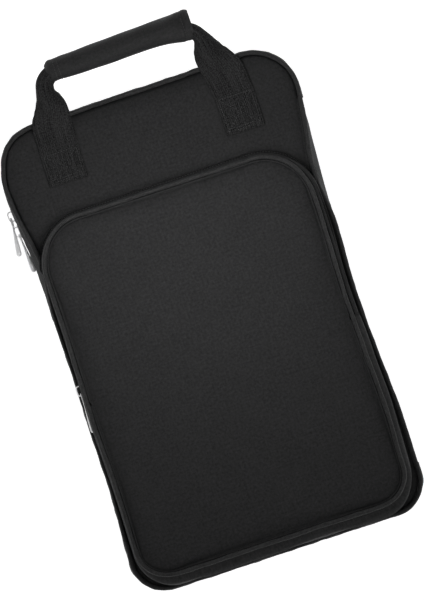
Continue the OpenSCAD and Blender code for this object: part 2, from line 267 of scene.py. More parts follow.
def make(name, verts, faces, uvs=None, material=None, sharp=40):
    """Mesh object from points and faces; uvs is one (u, v) in metres for each face corner."""
    mesh = bpy.data.meshes.new(name)
    mesh.from_pydata([tuple(v) for v in verts], [], [tuple(int(i) for i in f) for f in faces])
    layer = mesh.uv_layers.new(name="cloth")
    if uvs is None:
        co = np.asarray(verts, float)
        corners = np.concatenate([np.asarray(f, int) for f in faces])
        uvs = co[corners][:, :2]
    layer.data.foreach_set("uv", np.asarray(uvs, np.float32).ravel())
    mesh.validate()
    mesh.polygons.foreach_set("use_smooth", [True] * len(mesh.polygons))
    mesh.set_sharp_from_angle(angle=math.radians(sharp))
    obj = bpy.data.objects.new(name, mesh)
    bpy.context.scene.collection.objects.link(obj)
    if material is not None:
        mesh.materials.append(material)
    return obj


def grid_faces(rows, cols, rows_closed, u, v):
    """Quads of a grid of points whose columns close on themselves, and their corner coordinates
    from u along rows and v along columns."""
    a, b = np.meshgrid(np.arange(rows if rows_closed else rows - 1), np.arange(cols), indexing="ij")
    a, b = a.ravel(), b.ravel()
    a1, b1 = (a + 1) % rows, (b + 1) % cols
    faces = np.stack([a * cols + b, a1 * cols + b, a1 * cols + b1, a * cols + b1], 1)
    ua, ub, va, vb = u[a], u[a + 1], v[b], v[b + 1]
    uvs = np.stack([ua, va, ub, va, ub, vb, ua, vb], 1).reshape(-1, 2)
    return faces, uvs


def turned(faces, uvs):
    """The faces turned over, with their corner coordinates."""
    out, at = [], 0
    for f in faces:
        out += list(uvs[at:at + len(f)])[::-1]
        at += len(f)
    return [tuple(f)[::-1] for f in faces], out


def backed(faces, count, edge):
    """Faces of a sheet, of its underside count points further on, and of the strip round its edge."""
    under = [tuple(i + count for i in f[::-1]) for f in faces]
    rim = [((i + 1) % edge, i, i + count, (i + 1) % edge + count) for i in range(edge)]
    return list(faces) + under + rim


def close_ends(faces, uvs, rows, spans):
    """Closes both ends of a strip whose rings run across it and back; spans are the caps' coordinates."""
    faces, uvs = [tuple(f) for f in faces], list(uvs)
    cols = 2 * len(spans) + 2
    for row in (0, rows - 1):
        for k, (u0, u1) in enumerate(spans):
            a, b = row * cols + k, row * cols + cols - 1 - k
            faces.append((a, a + 1, b - 1, b) if row == 0 else (b, b - 1, a + 1, a))
            uvs += [(u0, 0), (u1, 0), (u1, 0.001), (u0, 0.001)]
    return faces, uvs


def rings(side, other, sides):
    """Circles of unit radius, one for each pair of directions."""
    a = np.arange(sides) * 2 * math.pi / sides
    return side[:, None] * np.cos(a)[None, :, None] + other[:, None] * np.sin(a)[None, :, None]


def doubled(outer, thickness):
    """The cross-section of a cloth from that of its outer face."""
    return outer + [(n - thickness, z) for n, z in outer][::-1]


def band(name, run, profile, material, settled=True, sharp=40):
    """Sweeps a cross-section of (outwards, z) pairs round a run; each may vary along the run."""
    count = len(run.s)
    rows = count - 1 if run.closed else count
    n_out = np.stack([np.broadcast_to(np.asarray(a, float), count) for a, _ in profile], 1)[:rows]
    z = np.stack([np.broadcast_to(np.asarray(b, float), count) for _, b in profile], 1)[:rows]
    xy = run.p[:rows, None, :] + run.n[:rows, None, :] * n_out[:, :, None]
    co = np.concatenate([xy, z[:, :, None]], 2)
    cols = len(profile)
    mid = co[rows // 2]
    faces, uvs = grid_faces(rows, cols, run.closed, run.s, lengths(np.vstack([mid, mid[:1]])))
    co = co.reshape(-1, 3)
    if not run.closed:
        caps = [list(range(cols))[::-1], [(rows - 1) * cols + k for k in range(cols)]]
        faces = list(faces) + caps
        uvs = np.vstack([uvs] + [co[cap][:, 1:] for cap in caps])
    if settled:
        co = settle(co)
    return make(name, co, faces, uvs, material, sharp)


CORD_SIDES = 14


def tube_profile(n0, z0, r):
    """Round cross-section about (n0, z0) whose radius is a function of the angle."""
    angles = [2 * math.pi * k / CORD_SIDES for k in range(CORD_SIDES)]
    return [(n0 + r(a) * math.cos(a), z0 + r(a) * math.sin(a)) for a in angles]


def cord_band(name, run, n0, z0, radius, seed):
    """Fabric-covered piping: a cord drawn a little tight at each stitch, with the cloth's slant round it."""
    s = run.s
    pull = 0.00006 * np.sin(2 * math.pi * s / 0.0042 + 1.3 * np.sin(s / 0.017))
    fat = ripple(s, [(0.061, 0.00009), (0.023, 0.00006)], seed)

    def at(a):
        return radius + pull + fat + 0.00007 * np.sin(2 * math.pi * s / 0.0033 + 2 * a)

    wander = ripple(s, [(0.083, 0.00018), (0.037, 0.00010)], seed + 2)
    return band(name, run, tube_profile(n0 + wander, z0, at), PIPING, sharp=70)


def shrink(loop, by):
    """A closed counter-clockwise loop, moved inwards."""
    t = unit(np.roll(loop, -1, 0) - np.roll(loop, 1, 0))
    return loop - by * np.stack([t[:, 1], -t[:, 0]], 1)


def sheet_mesh(boundary, spacing, rings=()):
    """Even triangles inside a closed boundary, with rings of points at set distances from it:
    points (n, 2), faces and the number of edge points."""
    b = np.asarray(boundary)
    lo, hi = b.min(0), b.max(0)
    xs = np.arange(lo[0] + spacing / 2, hi[0], spacing)
    ys = np.arange(lo[1] + spacing / 2, hi[1], spacing * 0.87)
    grid = np.array([(x + (spacing / 2 if k % 2 else 0), y) for k, y in enumerate(ys) for x in xs])
    keep = inside(grid, b) & (edge_distance(grid, b) > max(rings, default=0) + spacing * 0.6)
    points = np.vstack([b] + [shrink(b, r) for r in rings] + [grid[keep]])
    n = len(b)
    loop = [(i, (i + 1) % n) for i in range(n)]
    verts, _, faces, _, _, _ = geometry.delaunay_2d_cdt(
        [Vector(p) for p in points], loop, [], 1, 1e-7)
    return np.array([tuple(v) for v in verts]), [tuple(f) for f in faces], n


def inside(points, loop):
    """Whether each point lies inside a closed loop."""
    x, y = points[:, 0][:, None], points[:, 1][:, None]
    x0, y0 = loop[:, 0][None], loop[:, 1][None]
    x1, y1 = np.roll(loop[:, 0], -1)[None], np.roll(loop[:, 1], -1)[None]
    crosses = (y0 > y) != (y1 > y)
    with np.errstate(divide="ignore", invalid="ignore"):
        xc = (x1 - x0) * (y - y0) / (y1 - y0) + x0
    return (np.sum(crosses & (x < xc), axis=1) % 2) == 1


def edge_distance(points, loop):
    """Distance of each point from a closed loop."""
    a, b = loop, np.roll(loop, -1, 0)
    out = np.full(len(points), 1e9)
    for p, q in zip(a, b):
        d = q - p
        t = np.clip(((points - p) @ d) / max(d @ d, 1e-12), 0, 1)
        out = np.minimum(out, np.linalg.norm(points - (p + t[:, None] * d), axis=1))
    return out


def offset_loop(run, inwards):
    """The run's points moved inwards, as a closed loop."""
    d = np.broadcast_to(np.asarray(inwards, float), len(run.s))
    loop = run.p - run.n * d[:, None]
    return loop[:-1] if run.closed else loop


# ---------------------------------------------------------------- cloth

CLOTH_FRAMES = 20


def inflate(obj, pinned, slack, cap):
    """Cloth finds its own shape under a little pressure; no point moves more than cap."""
    rest = np.array([v.co[:] for v in obj.data.vertices])
    group = obj.vertex_groups.new(name="sewn")
    group.add([int(i) for i in pinned], 1.0, "REPLACE")
    cloth = obj.modifiers.new("cloth", "CLOTH")
    setting = cloth.settings
    setting.quality = 6
    setting.mass = 0.25
    setting.tension_stiffness = setting.compression_stiffness = 18
    setting.shear_stiffness = 8
    setting.bending_stiffness = 0.6
    setting.use_pressure = True
    setting.uniform_pressure_force = 4.0
    setting.shrink_min = -slack
    setting.vertex_group_mass = "sewn"
    setting.effector_weights.gravity = 0
    cloth.collision_settings.use_collision = False
    scene = bpy.context.scene
    for f in range(1, CLOTH_FRAMES + 1):
        scene.frame_set(f)
    evaluated = obj.evaluated_get(bpy.context.evaluated_depsgraph_get())
    moved = np.array([v.co[:] for v in evaluated.data.vertices]) - rest
    obj.modifiers.remove(cloth)
    obj.vertex_groups.clear()
    scene.frame_set(1)
    size = np.linalg.norm(moved, axis=1)[:, None]
    moved = moved * (cap * np.tanh(size / cap) / np.maximum(size, 1e-9))
    obj.data.vertices.foreach_set("co", (rest + moved).astype(np.float32).ravel())
    obj.data.update()


# ---------------------------------------------------------------- materials

class Nodes:
    """Small helper that adds shader nodes and links them."""

    def __init__(self, name):
        self.material = bpy.data.materials.new(name)
        self.material.use_nodes = True
        self.tree = self.material.node_tree
        self.shader = self.tree.nodes["Principled BSDF"]

    def add(self, kind, **values):
        node = self.tree.nodes.new(kind)
        for key, value in values.items():
            setattr(node, key, value)
        return node

    def link(self, a, b):
        self.tree.links.new(a, b)

    def feed(self, socket, value):
        if isinstance(value, bpy.types.NodeSocket):
            self.link(value, socket)
        else:
            socket.default_value = value

    def math(self, operation, a, b=0.0):
        node = self.add("ShaderNodeMath", operation=operation)
        self.feed(node.inputs[0], a)
        self.feed(node.inputs[1], b)
        return node.outputs[0]

    def cloth_axes(self, pitch_u, pitch_v, turn=0.0):
        """Distances across the cloth, counted in threads."""
        uv = self.add("ShaderNodeUVMap", uv_map="cloth")
        scale = self.add("ShaderNodeMapping")
        scale.inputs["Rotation"].default_value = (0, 0, math.radians(turn))
        scale.inputs["Scale"].default_value = (1 / pitch_u, 1 / pitch_v, 1)
        self.link(uv.outputs[0], scale.inputs[0])
        split = self.add("ShaderNodeSeparateXYZ")
        self.link(scale.outputs[0], split.inputs[0])
        return uv.outputs[0], scale.outputs[0], split.outputs[0], split.outputs[1]

    def total(self, *values):
        out = values[0]
        for value in values[1:]:
            out = self.math("ADD", out, value)
        return out

    def times(self, a, b):
        return self.math("MULTIPLY", a, b)

    def wave(self, value, scale=1.0):
        """Rounded ridges, one for each whole number."""
        return self.math("ABSOLUTE", self.math("SINE", self.times(value, math.pi * scale)))

    def noise(self, vector, scale, detail=2.0, rough=0.5, stretch=None):
        if stretch is not None:
            m = self.add("ShaderNodeMapping")
            m.inputs["Scale"].default_value = stretch
            self.link(vector, m.inputs[0])
            vector = m.outputs[0]
        n = self.add("ShaderNodeTexNoise")
        self.link(vector, n.inputs["Vector"])
        for label, number in (("Scale", scale), ("Detail", detail), ("Roughness", rough)):
            n.inputs[label].default_value = number
        return n.outputs[0]

    def ramp(self, value, low_value, high_value, low_at=0.0, high_at=1.0):
        """From low_value to high_value while the value goes from low_at to high_at."""
        r = self.add("ShaderNodeMapRange")
        for label, number in (("From Min", low_at), ("From Max", high_at), ("To Min", low_value),
                              ("To Max", high_value)):
            r.inputs[label].default_value = number
        self.link(value, r.inputs["Value"])
        return r.outputs[0]

    def tint(self, colour, amount):
        """The colour, made lighter or darker by a factor."""
        node = self.add("ShaderNodeVectorMath", operation="SCALE")
        node.inputs[0].default_value = colour[:3]
        self.feed(node.inputs["Scale"], amount)
        return node.outputs[0]

    def painted_crease_shade(self, reach=0.0045, darkest=0.12):
        """Less than one in seams and tight folds: painted shade that darkens the colour where other cloth
        hems the surface in.
        """
        near = self.add("ShaderNodeAmbientOcclusion", samples=6)
        near.inputs["Distance"].default_value = reach
        return self.ramp(near.outputs["AO"], darkest, 1.0, 0.20, 0.85)

    def finish(self, colour, amount, rough, **sockets):
        """Colour scaled by amount, roughness, and the shader's sockets that are the same all over."""
        self.link(self.tint(colour, amount), self.shader.inputs["Base Color"])
        self.link(rough, self.shader.inputs["Roughness"])
        for name, value in sockets.items():
            self.shader.inputs[name.replace("_", " ")].default_value = value

    def bump(self, height, strength, distance):
        b = self.add("ShaderNodeBump")
        b.inputs["Strength"].default_value = strength
        b.inputs["Distance"].default_value = distance
        self.link(height, b.inputs["Height"])
        self.link(b.outputs[0], self.shader.inputs["Normal"])


def woven(name, colour, pitch=0.00062, turn=0.0, sheen=0.10, rough=0.82, streak=0.26):
    """Plain weave: threads over and under each other, with slubs, worn high points and soft mottling."""
    m = Nodes(name)
    uv, threads, u, v = m.cloth_axes(pitch, pitch * 1.12, turn)
    slub_u = m.noise(threads, 0.55, 2, 0.6, (0.05, 1.0, 1.0))
    slub_v = m.noise(threads, 0.55, 2, 0.6, (1.0, 0.05, 1.0))
    over = m.math("POWER", m.times(m.wave(u), m.wave(v)), 0.6)
    height = m.total(over, m.times(m.total(slub_u, slub_v), 0.55))
    warp = m.noise(uv, 1.0, 3, 0.6, (620.0, 75.0, 1.0))
    weft = m.noise(uv, 1.0, 3, 0.6, (75.0, 620.0, 1.0))
    mottle = m.noise(uv, 400.0, 3, 0.65)
    broad = m.noise(uv, 22.0, 3, 0.55)
    value = m.total(m.ramp(height, -0.30, 0.30, 0.2, 1.6),
                    m.ramp(m.total(warp, weft), -streak / 2, streak / 2, 0.75, 1.25),
                    m.ramp(mottle, -1.6 * streak, 1.6 * streak, 0.3, 0.7),
                    m.ramp(broad, -0.07, 0.07, 0.3, 0.7))
    # The colour is darkened by painted shade in seams and tight folds.
    m.finish(colour, m.times(m.total(value, 1.0), m.painted_crease_shade()),
             m.ramp(height, rough + 0.1, rough - 0.12, 0.2, 1.5),
             Specular_IOR_Level=0.22, Sheen_Weight=sheen, Sheen_Roughness=0.42,
             Sheen_Tint=(0.75, 0.77, 0.80, 1))
    m.bump(height, 0.9, 0.00016)
    return m.material


def webbing_material(name, colour):
    """Ribbed webbing: ribs along its length, crossed by slanted picks."""
    m = Nodes(name)
    uv, threads, u, v = m.cloth_axes(0.0019, 0.0011)
    lean = m.times(m.math("PINGPONG", u, 1.0), 1.1)
    pick = m.wave(m.total(v, lean))
    fuzz = m.noise(threads, 1.1, 3, 0.6)
    height = m.total(m.times(m.math("POWER", m.wave(u), 0.6), 0.75), m.times(pick, 0.55), m.times(fuzz, 0.35))
    streak = m.noise(threads, 0.8, 2, 0.5, (1.0, 0.04, 1.0))
    speck = m.noise(uv, 720.0, 2, 0.7)
    value = m.total(m.ramp(height, -0.45, 0.45, 0.3, 1.5), m.ramp(speck, -1.0, 1.0, 0.32, 0.68),
                    m.ramp(streak, -0.42, 0.42, 0.3, 0.7))
    # The colour is darkened by painted shade in folds and along the stitches.
    m.finish(colour, m.times(m.total(value, 1.0), m.painted_crease_shade(0.0030, 0.20)),
             m.ramp(height, 0.86, 0.66, 0.3, 1.5), Specular_IOR_Level=0.10)
    m.bump(height, 0.9, 0.00030)
    return m.material


def tape_material(name, colour):
    """Herringbone tape."""
    m = Nodes(name)
    _, threads, u, v = m.cloth_axes(0.0011, 0.0024)
    line = m.wave(m.total(u, m.math("PINGPONG", v, 0.5)), 2.0)
    fuzz = m.noise(threads, 1.3, 2, 0.6)
    height = m.total(m.times(line, 0.7), m.times(fuzz, 0.4))
    m.finish(colour, m.ramp(height, 0.65, 1.3, 0.2, 1.0), m.ramp(height, 0.85, 0.65, 0.2, 1.0),
             Specular_IOR_Level=0.28, Sheen_Weight=0.06)
    m.bump(height, 0.7, 0.00018)
    return m.material


def thread_material(name, colour):
    """Bonded sewing thread: two plies twisted together, a little shiny."""
    m = Nodes(name)
    _, _, u, v = m.cloth_axes(0.0006, 0.0006)
    twist = m.wave(m.total(u, v))
    m.finish(colour, m.ramp(twist, 0.7, 1.25), m.ramp(twist, 0.62, 0.42))
    m.bump(twist, 0.6, 0.00008)
    return m.material


def coil_material(name, colour):
    """Moulded nylon coil, a little worn where the sliders run."""
    m = Nodes(name)
    wear = m.noise(m.add("ShaderNodeTexCoord").outputs["Object"], 900.0, 3, 0.6)
    m.finish(colour, m.ramp(wear, 0.75, 1.35, 0.3, 0.7), m.ramp(wear, 0.30, 0.50, 0.3, 0.7))
    m.bump(wear, 0.25, 0.00005)
    return m.material


def nickel_material(name, colour):
    """Bright nickel plate with fine tumbling marks and duller hollows."""
    m = Nodes(name)
    coords = m.add("ShaderNodeTexCoord").outputs["Object"]
    marks = m.noise(coords, 1500.0, 4, 0.65)
    dull = m.noise(coords, 260.0, 3, 0.55)
    m.finish(colour, m.ramp(dull, 0.88, 1.04, 0.3, 0.7), m.ramp(marks, 0.26, 0.40, 0.3, 0.7), Metallic=0.15)
    m.bump(marks, 0.15, 0.00004)
    return m.material


SHELL = woven("shell_fabric", (0.0178, 0.0178, 0.0182))
# The shell's own cloth where it forms walls: its colour is painted a little lighter than the shell's to lift
# the shade on the walls, and it has less sheen.
SHELL_PAINTED_LIGHTER = woven("wall_fabric_painted_lighter", (0.0195, 0.0195, 0.0198), sheen=0.05)
PIPING = woven("piping_fabric", (0.0225, 0.0225, 0.0228), pitch=0.00055, turn=45, sheen=0.04, rough=0.66,
               streak=0.34)
GRIP = woven("grip_fabric", (0.0172, 0.0172, 0.0175), pitch=0.00060, sheen=0.07, rough=0.64)
LINING = woven("lining_fabric", (0.0130, 0.0130, 0.0136), pitch=0.00040, sheen=0.08)
SLEEVE = woven("sleeve_fabric", (0.0170, 0.0170, 0.0180), pitch=0.00045, sheen=0.10)
WEBBING = webbing_material("webbing", (0.0172, 0.0172, 0.0174))
TAPE = tape_material("zip_tape", (0.0120, 0.0120, 0.0123))
BINDING = tape_material("binding_tape", (0.0110, 0.0110, 0.0114))
THREAD = thread_material("thread", (0.0225, 0.0225, 0.0229))
COIL = coil_material("zip_coil", (0.0090, 0.0090, 0.0092))
NICKEL = nickel_material("nickel", (0.88, 0.88, 0.885))


def finished(obj, nodes):
    if nodes:
        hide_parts(*nodes)
    return obj


def place(obj, body, slot, *nodes):
    """The piece rides on a body and stands for CAD nodes; the slot is not used."""
    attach(obj, body)
    return finished(obj, nodes)


def bend(obj, a, b, start, end, slot, *nodes):
    """The piece's placement is baked into its mesh, and it stands for CAD nodes; a, b, start, end and slot
    are not used.
    """
    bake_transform(obj)
    return finished(obj, nodes)


# ---------------------------------------------------------------- panels

# The groove along a panel's seam: rings of points in it, its width, and its share of the panel's crown
SEAM_RINGS = (0.0006, 0.0014, 0.0030)
SEAM_REACH = 0.0007
SEAM_SHARE = 0.78
# How far in the crown goes on rising, the width of the seam's allowance, and the size of the mesh
CROWN_REACH = 0.010
SEWN_EDGE = 0.0026
PANEL_SPACING = 0.005


def padded_panel(name, loop, z_seam, crown, cap, thickness, slack=0.006, underneath=False):
    """Fabric over foam, sewn down along its edge: cloth puckers at the seam and lies soft within it."""
    points, faces, edge = sheet_mesh(loop, PANEL_SPACING, SEAM_RINGS)
    d = edge_distance(points, np.asarray(loop))
    z = z_seam + crown * (SEAM_SHARE * (1 - np.exp(-d / SEAM_REACH))
                          + (1 - SEAM_SHARE) * (1 - np.exp(-d / CROWN_REACH)))
    top = make(name, np.column_stack([points, z]), faces)
    inflate(top, range(edge), slack=slack, cap=cap)
    co = np.array([v.co[:] for v in top.data.vertices])
    bpy.data.meshes.remove(top.data)
    n = len(co)
    under = np.column_stack([points, np.full(n, z_seam + crown + cap - thickness)])
    under[:edge, 2] = z_seam - 0.0006
    faces = backed(faces, n, edge)
    verts = settle(np.vstack([co, under]))
    if underneath:
        verts[:, 2] = FRONT_Z - verts[:, 2]
        faces = [f[::-1] for f in faces]
    return make(name, verts, faces, None, SHELL)


INSET = front_inset(CASE)
front_shell = padded_panel("front_shell", offset_loop(CASE, INSET + SEWN_EDGE), FRONT_Z - 0.0056, 0.0044,
                           0.0019, 0.0062)
place(front_shell, "front_cover", "shell_fabric", "front_panel", "front_foam")

back_shell = padded_panel("back_shell", offset_loop(CASE, SEWN_EDGE), FRONT_Z - 0.0032, 0.0018, 0.0012,
                          0.0062, slack=0.004, underneath=True)
place(back_shell, "back", "shell_fabric", "back_panel", "back_foam")


# ---------------------------------------------------------------- walls, piping and zips

def mirror(profile):
    """A cross-section of the front half, turned into one of the back half."""
    return [(n, FRONT_Z - z) for n, z in profile][::-1]


WALL_ROWS = 9


def wall_profile(run, z0, z1, bulge, inset, seed):
    """Side wall from the zip (z0) to its piping (z1): it bows out and puckers between its two seams."""
    pucker = ripple(run.s, [(0.031, 0.00022), (0.017, 0.00016), (0.0093, 0.00008)], seed)
    lean = ripple(run.s, [(0.047, 0.08), (0.021, 0.05)], seed + 1)
    outer, inner = [], []
    for t in np.linspace(0, 1, WALL_ROWS):
        arch = math.sin(math.pi * t) ** 0.9
        n = 0.0003 + bulge * arch + pucker * arch * (1 + lean * (t - 0.5)) - inset * smooth(t)
        z = z0 + (z1 - z0) * t
        outer.append((n, z))
        inner.append((n - WALL_T * (0.55 + 0.45 * arch), z))
    return outer + inner[::-1]


def helix_band(name, run, n0, z0, rn, rz, pitch, wire, phase):
    """A zip's coil: one wire wound along the run."""
    per_turn = 8
    turns = int(run.s[-1] / pitch - run.s[0] / pitch)
    k = np.arange(turns * per_turn + 1)
    s = run.s[0] + k * pitch / per_turn
    a = 2 * math.pi * (k / per_turn + phase)
    p = np.stack([np.interp(s, run.s, run.p[:, i]) for i in (0, 1)], 1)
    n = np.stack([np.interp(s, run.s, run.n[:, i]) for i in (0, 1)], 1)
    middle = np.interp(s, run.s, np.broadcast_to(n0, len(run.s)))
    xy = p + n * (middle + rn * np.cos(a))[:, None]
    line = np.column_stack([xy, z0 + rz * np.sin(a)])
    return tube(name, settle(line), wire, COIL, 5)


def tube(name, line, radius, material, sides):
    """Round tube along a line of points, with rounded ends."""
    t = unit(np.gradient(line, axis=0))
    side = np.cross(t, (0.0, 0.0, 1.0))
    weak = np.linalg.norm(side, axis=1) < 0.2
    side[weak] = np.cross(t[weak], (1.0, 0.0, 0.0))
    side = unit(side)
    rows = len(line)
    co = (line[:, None] + rings(side, np.cross(side, t), sides) * radius).reshape(-1, 3)
    along = lengths(line)
    round_v = np.arange(sides + 1) * 2 * math.pi * radius / sides
    faces, uvs = grid_faces(rows, sides, False, along, round_v)
    co = np.vstack([co, line[0] - t[0] * radius * 0.6, line[-1] + t[-1] * radius * 0.6])
    first, last = rows * sides, rows * sides + 1
    faces = [tuple(f) for f in faces]
    uvs = uvs.reshape(-1, 2).tolist()
    for k in range(sides):
        k1 = (k + 1) % sides
        faces.append((k1, k, first))
        faces.append(((rows - 1) * sides + k, (rows - 1) * sides + k1, last))
        uvs += [(0, 0), (0, round_v[1]), (round_v[1], 0)] * 2
    return make(name, co, *turned(faces, uvs), material, 80)


GUSSET_TOP = high("back_gusset").z
COIL_BACK_Z = 0.0258
COIL_FRONT_Z = FRONT_Z - COIL_BACK_Z
COIL_PITCH = 0.0016
PIPING_TOP_Z = FRONT_Z - 0.0022

ZIP_INSET = front_inset(ZIPPED)
front_wall = band("front_wall", ZIPPED,
                  wall_profile(ZIPPED, FRONT_Z - GUSSET_TOP, FRONT_Z - 0.0024, 0.0026, ZIP_INSET, 0.4),
                  SHELL_PAINTED_LIGHTER)
place(front_wall, "front_cover", "shell_fabric", "front_gusset")
back_wall = band("back_wall", ZIPPED,
                 mirror(wall_profile(ZIPPED, FRONT_Z - GUSSET_TOP, FRONT_Z - 0.0024, 0.0019, 0.0, 2.2)),
                 SHELL_PAINTED_LIGHTER)
place(back_wall, "back", "shell_fabric", "back_gusset")

front_cord = cord_band("front_piping_cord", CASE, -INSET - 0.0003, PIPING_TOP_Z, CORD_R, 0.5)
place(front_cord, "front_cover", "piping", "front_piping")
back_cord = cord_band("back_piping_cord", CASE, -0.0002, 0.0026, CORD_R, 1.9)
place(back_cord, "back", "piping", "back_piping")


def tape(name, run, z0, z1, flip=False):
    """Flat zip tape just inside the wall, a little wavy along its loose edge."""
    wave = ripple(run.s, [(0.043, 0.00015), (0.019, 0.00010)], 0.7)
    outer = [(-0.0017 + wave * k / 4, z0 + (z1 - z0) * k / 4) for k in range(5)]
    inner = [(n - 0.0007, z) for n, z in outer]
    profile = outer[::-1] + inner
    return band(name, run, mirror(profile) if flip else profile, TAPE)


place(tape("main_zip_tape_cover", ZIPPED, 0.0296, 0.0405), "front_cover", "zip_tape",
      "main_zip_tape_front")
place(tape("main_zip_tape_base", ZIPPED, 0.0296, 0.0405, True), "back", "zip_tape",
      "main_zip_tape_back")
place(helix_band("main_zip_teeth_cover", ZIPPED, -0.0009, COIL_FRONT_Z, 0.0012, 0.00132, COIL_PITCH,
                 0.00035, 0.0), "front_cover", "zip_coil", "main_zip_coil_front")
place(helix_band("main_zip_teeth_base", ZIPPED, -0.0009, COIL_BACK_Z, 0.0012, 0.00132, COIL_PITCH,
                 0.00035, 0.5), "back", "zip_coil", "main_zip_coil_back")


# ---------------------------------------------------------------- spine

SPINE_ALLOWANCE = 0.0075
HELD_Z = 0.0050
BENT_Z = 0.0150


def spine_wall(inset=0.0):
    """The cloth hinge: from its seam allowance inside the panel's edge to the middle of the spine,
    bowed out and softly creased."""
    pucker = ripple(SPINE.s, [(0.037, 0.00025), (0.019, 0.00014)], 0.9)
    outer = []
    for t in np.linspace(0, 1, 15):
        bow = 0.0005 + 0.0017 * math.sin(math.pi * (0.5 * t + 0.08)) - inset * (1 - smooth(t))
        outer.append((bow + pucker * math.sin(math.pi * t), 0.0032 + (ZIP_Z - 0.0032) * t))
    inner = [(n - 0.0020, max(z, 0.0046)) for n, z in outer]
    tucked = outer[0][0] - SPINE_ALLOWANCE
    return [(tucked, 0.0034)] + outer + inner[::-1] + [(tucked, 0.0046)]


spine_base = band("spine_base", SPINE, spine_wall(), SHELL_PAINTED_LIGHTER)
bend(spine_base, "back", "spine", (0.151, 0, HELD_Z), (0.151, 0, BENT_Z), "shell_fabric", "spine_gusset")
spine_cover = band("spine_cover", SPINE, mirror(spine_wall(front_inset(SPINE))), SHELL_PAINTED_LIGHTER)
bend(spine_cover, "spine", "front_cover", (0.151, 0, FRONT_Z - BENT_Z), (0.151, 0, FRONT_Z - HELD_Z),
     "shell_fabric")


def rounded_box(name, lo, hi, radius, material, warp=None):
    """Closed block between two corners with rounded edges; warp(points) may then push it about."""
    soft = 3
    lo, hi = np.array(lo, float), np.array(hi, float)
    half = (hi - lo) / 2
    r = min(radius, half.min() * 0.98)
    axes = []
    for h in half:
        flat = max(2, round((h - r) * 2 / 0.0025))
        axes.append(np.concatenate([np.linspace(-h, r - h, soft + 1),
                                    np.linspace(r - h, h - r, flat + 1)[1:-1],
                                    np.linspace(h - r, h, soft + 1)]))
    verts, faces, known = [], [], {}

    def point(key):
        if key not in known:
            p = np.array([axes[k][key[k]] for k in range(3)])
            core = np.clip(p, r - half, half - r)
            d = p - core
            length = np.linalg.norm(d)
            known[key] = len(verts)
            verts.append((lo + hi) / 2 + core + (d / length * r if length > 1e-9 else d))
        return known[key]

    for axis in range(3):
        b, c = (axis + 1) % 3, (axis + 2) % 3
        for end in (0, len(axes[axis]) - 1):
            for u in range(len(axes[b]) - 1):
                for v in range(len(axes[c]) - 1):
                    face = []
                    for du, dv in ((0, 0), (1, 0), (1, 1), (0, 1)):
                        key = [0, 0, 0]
                        key[axis], key[b], key[c] = end, u + du, v + dv
                        face.append(point(tuple(key)))
                    faces.append(tuple(face if end else face[::-1]))
    verts = np.array(verts)
    if warp is not None:
        verts = warp(verts)
    return make(name, verts, faces, None, material, 50)


def follow_side(points):
    """Bends a block that was laid along x = 0 onto the curve of the case's right side."""
    out = points.copy()
    out[:, 0] += side_x(points[:, 1])
    return settle(out)


def join(name, parts):
    """Several meshes as one piece."""
    bpy.ops.object.select_all(action="DESELECT")
    for o in parts:
        o.select_set(True)
    bpy.context.view_layer.objects.active = parts[0]
    bpy.ops.object.join()
    parts[0].name = name
    return parts[0]


tab_low, tab_high = low("zip_end_tabs"), high("zip_end_tabs")
TAB_L = 0.016
tabs = [rounded_box("tab", (-0.0012, y, tab_low.z + 0.0005), (0.0010, y + TAB_L, tab_high.z - 0.0005),
                    0.0009, TAPE, warp=follow_side) for y in (tab_low.y, tab_high.y - TAB_L)]
place(join("main_zip_end_tabs", tabs), "spine", "zip_tape", "zip_end_tabs")


# ---------------------------------------------------------------- inside

def lining(name, z, body, node, side):
    """Thin lining sheet that lies on the foam, with soft wrinkles."""
    loop = offset_loop(CASE, 0.0034)
    points, faces, edge = sheet_mesh(loop[::2], 0.008)
    d = edge_distance(points, loop)
    wrinkle = np.array([noise.noise(Vector((x * 26, y * 9, z * 90))) for x, y in points])
    lift = wrinkle * 0.0005 * (1 - np.exp(-d / 0.01))
    top = np.column_stack([points, z + side * (lift - 0.00015)])
    under = np.column_stack([points, z + side * (lift - 0.00055)])
    faces = backed(faces, len(points), edge)
    if side < 0:
        faces = [f[::-1] for f in faces]
    obj = place(make(name, settle(np.vstack([top, under])), faces, None, LINING), body, "lining", node)


lining("back_lining_sheet", LINING_Z, "back", "back_lining", 1)
lining("front_lining_sheet", FRONT_Z - LINING_Z, "front_cover", "front_lining", -1)


def binding(name, run, z0, z1, body, node, flip):
    """Soft tape folded over the raw edges of the seam inside the case."""
    wave = ripple(run.s, [(0.037, 0.00018), (0.013, 0.0001)], 1.1)
    mid, tall = (z0 + z1) / 2, (z1 - z0) / 2
    profile = [(-0.0036 + wave + 0.0010 * math.cos(a), mid + tall * math.sin(a) * 0.96)
               for a in np.linspace(0, 2 * math.pi, 13)[:-1]]
    place(band(name, run, mirror(profile) if flip else profile, BINDING), body, "binding_tape", node)


binding("back_binding", ZIPPED, 0.0073, 0.0118, "back", "back_seam_binding", False)
binding("front_binding", ZIPPED, 0.0073, 0.0118, "front_cover", "front_seam_binding", True)

OPENINGS = {o["name"]: o["box_m"] for o in frame["record"]["physics"]["openings"]}


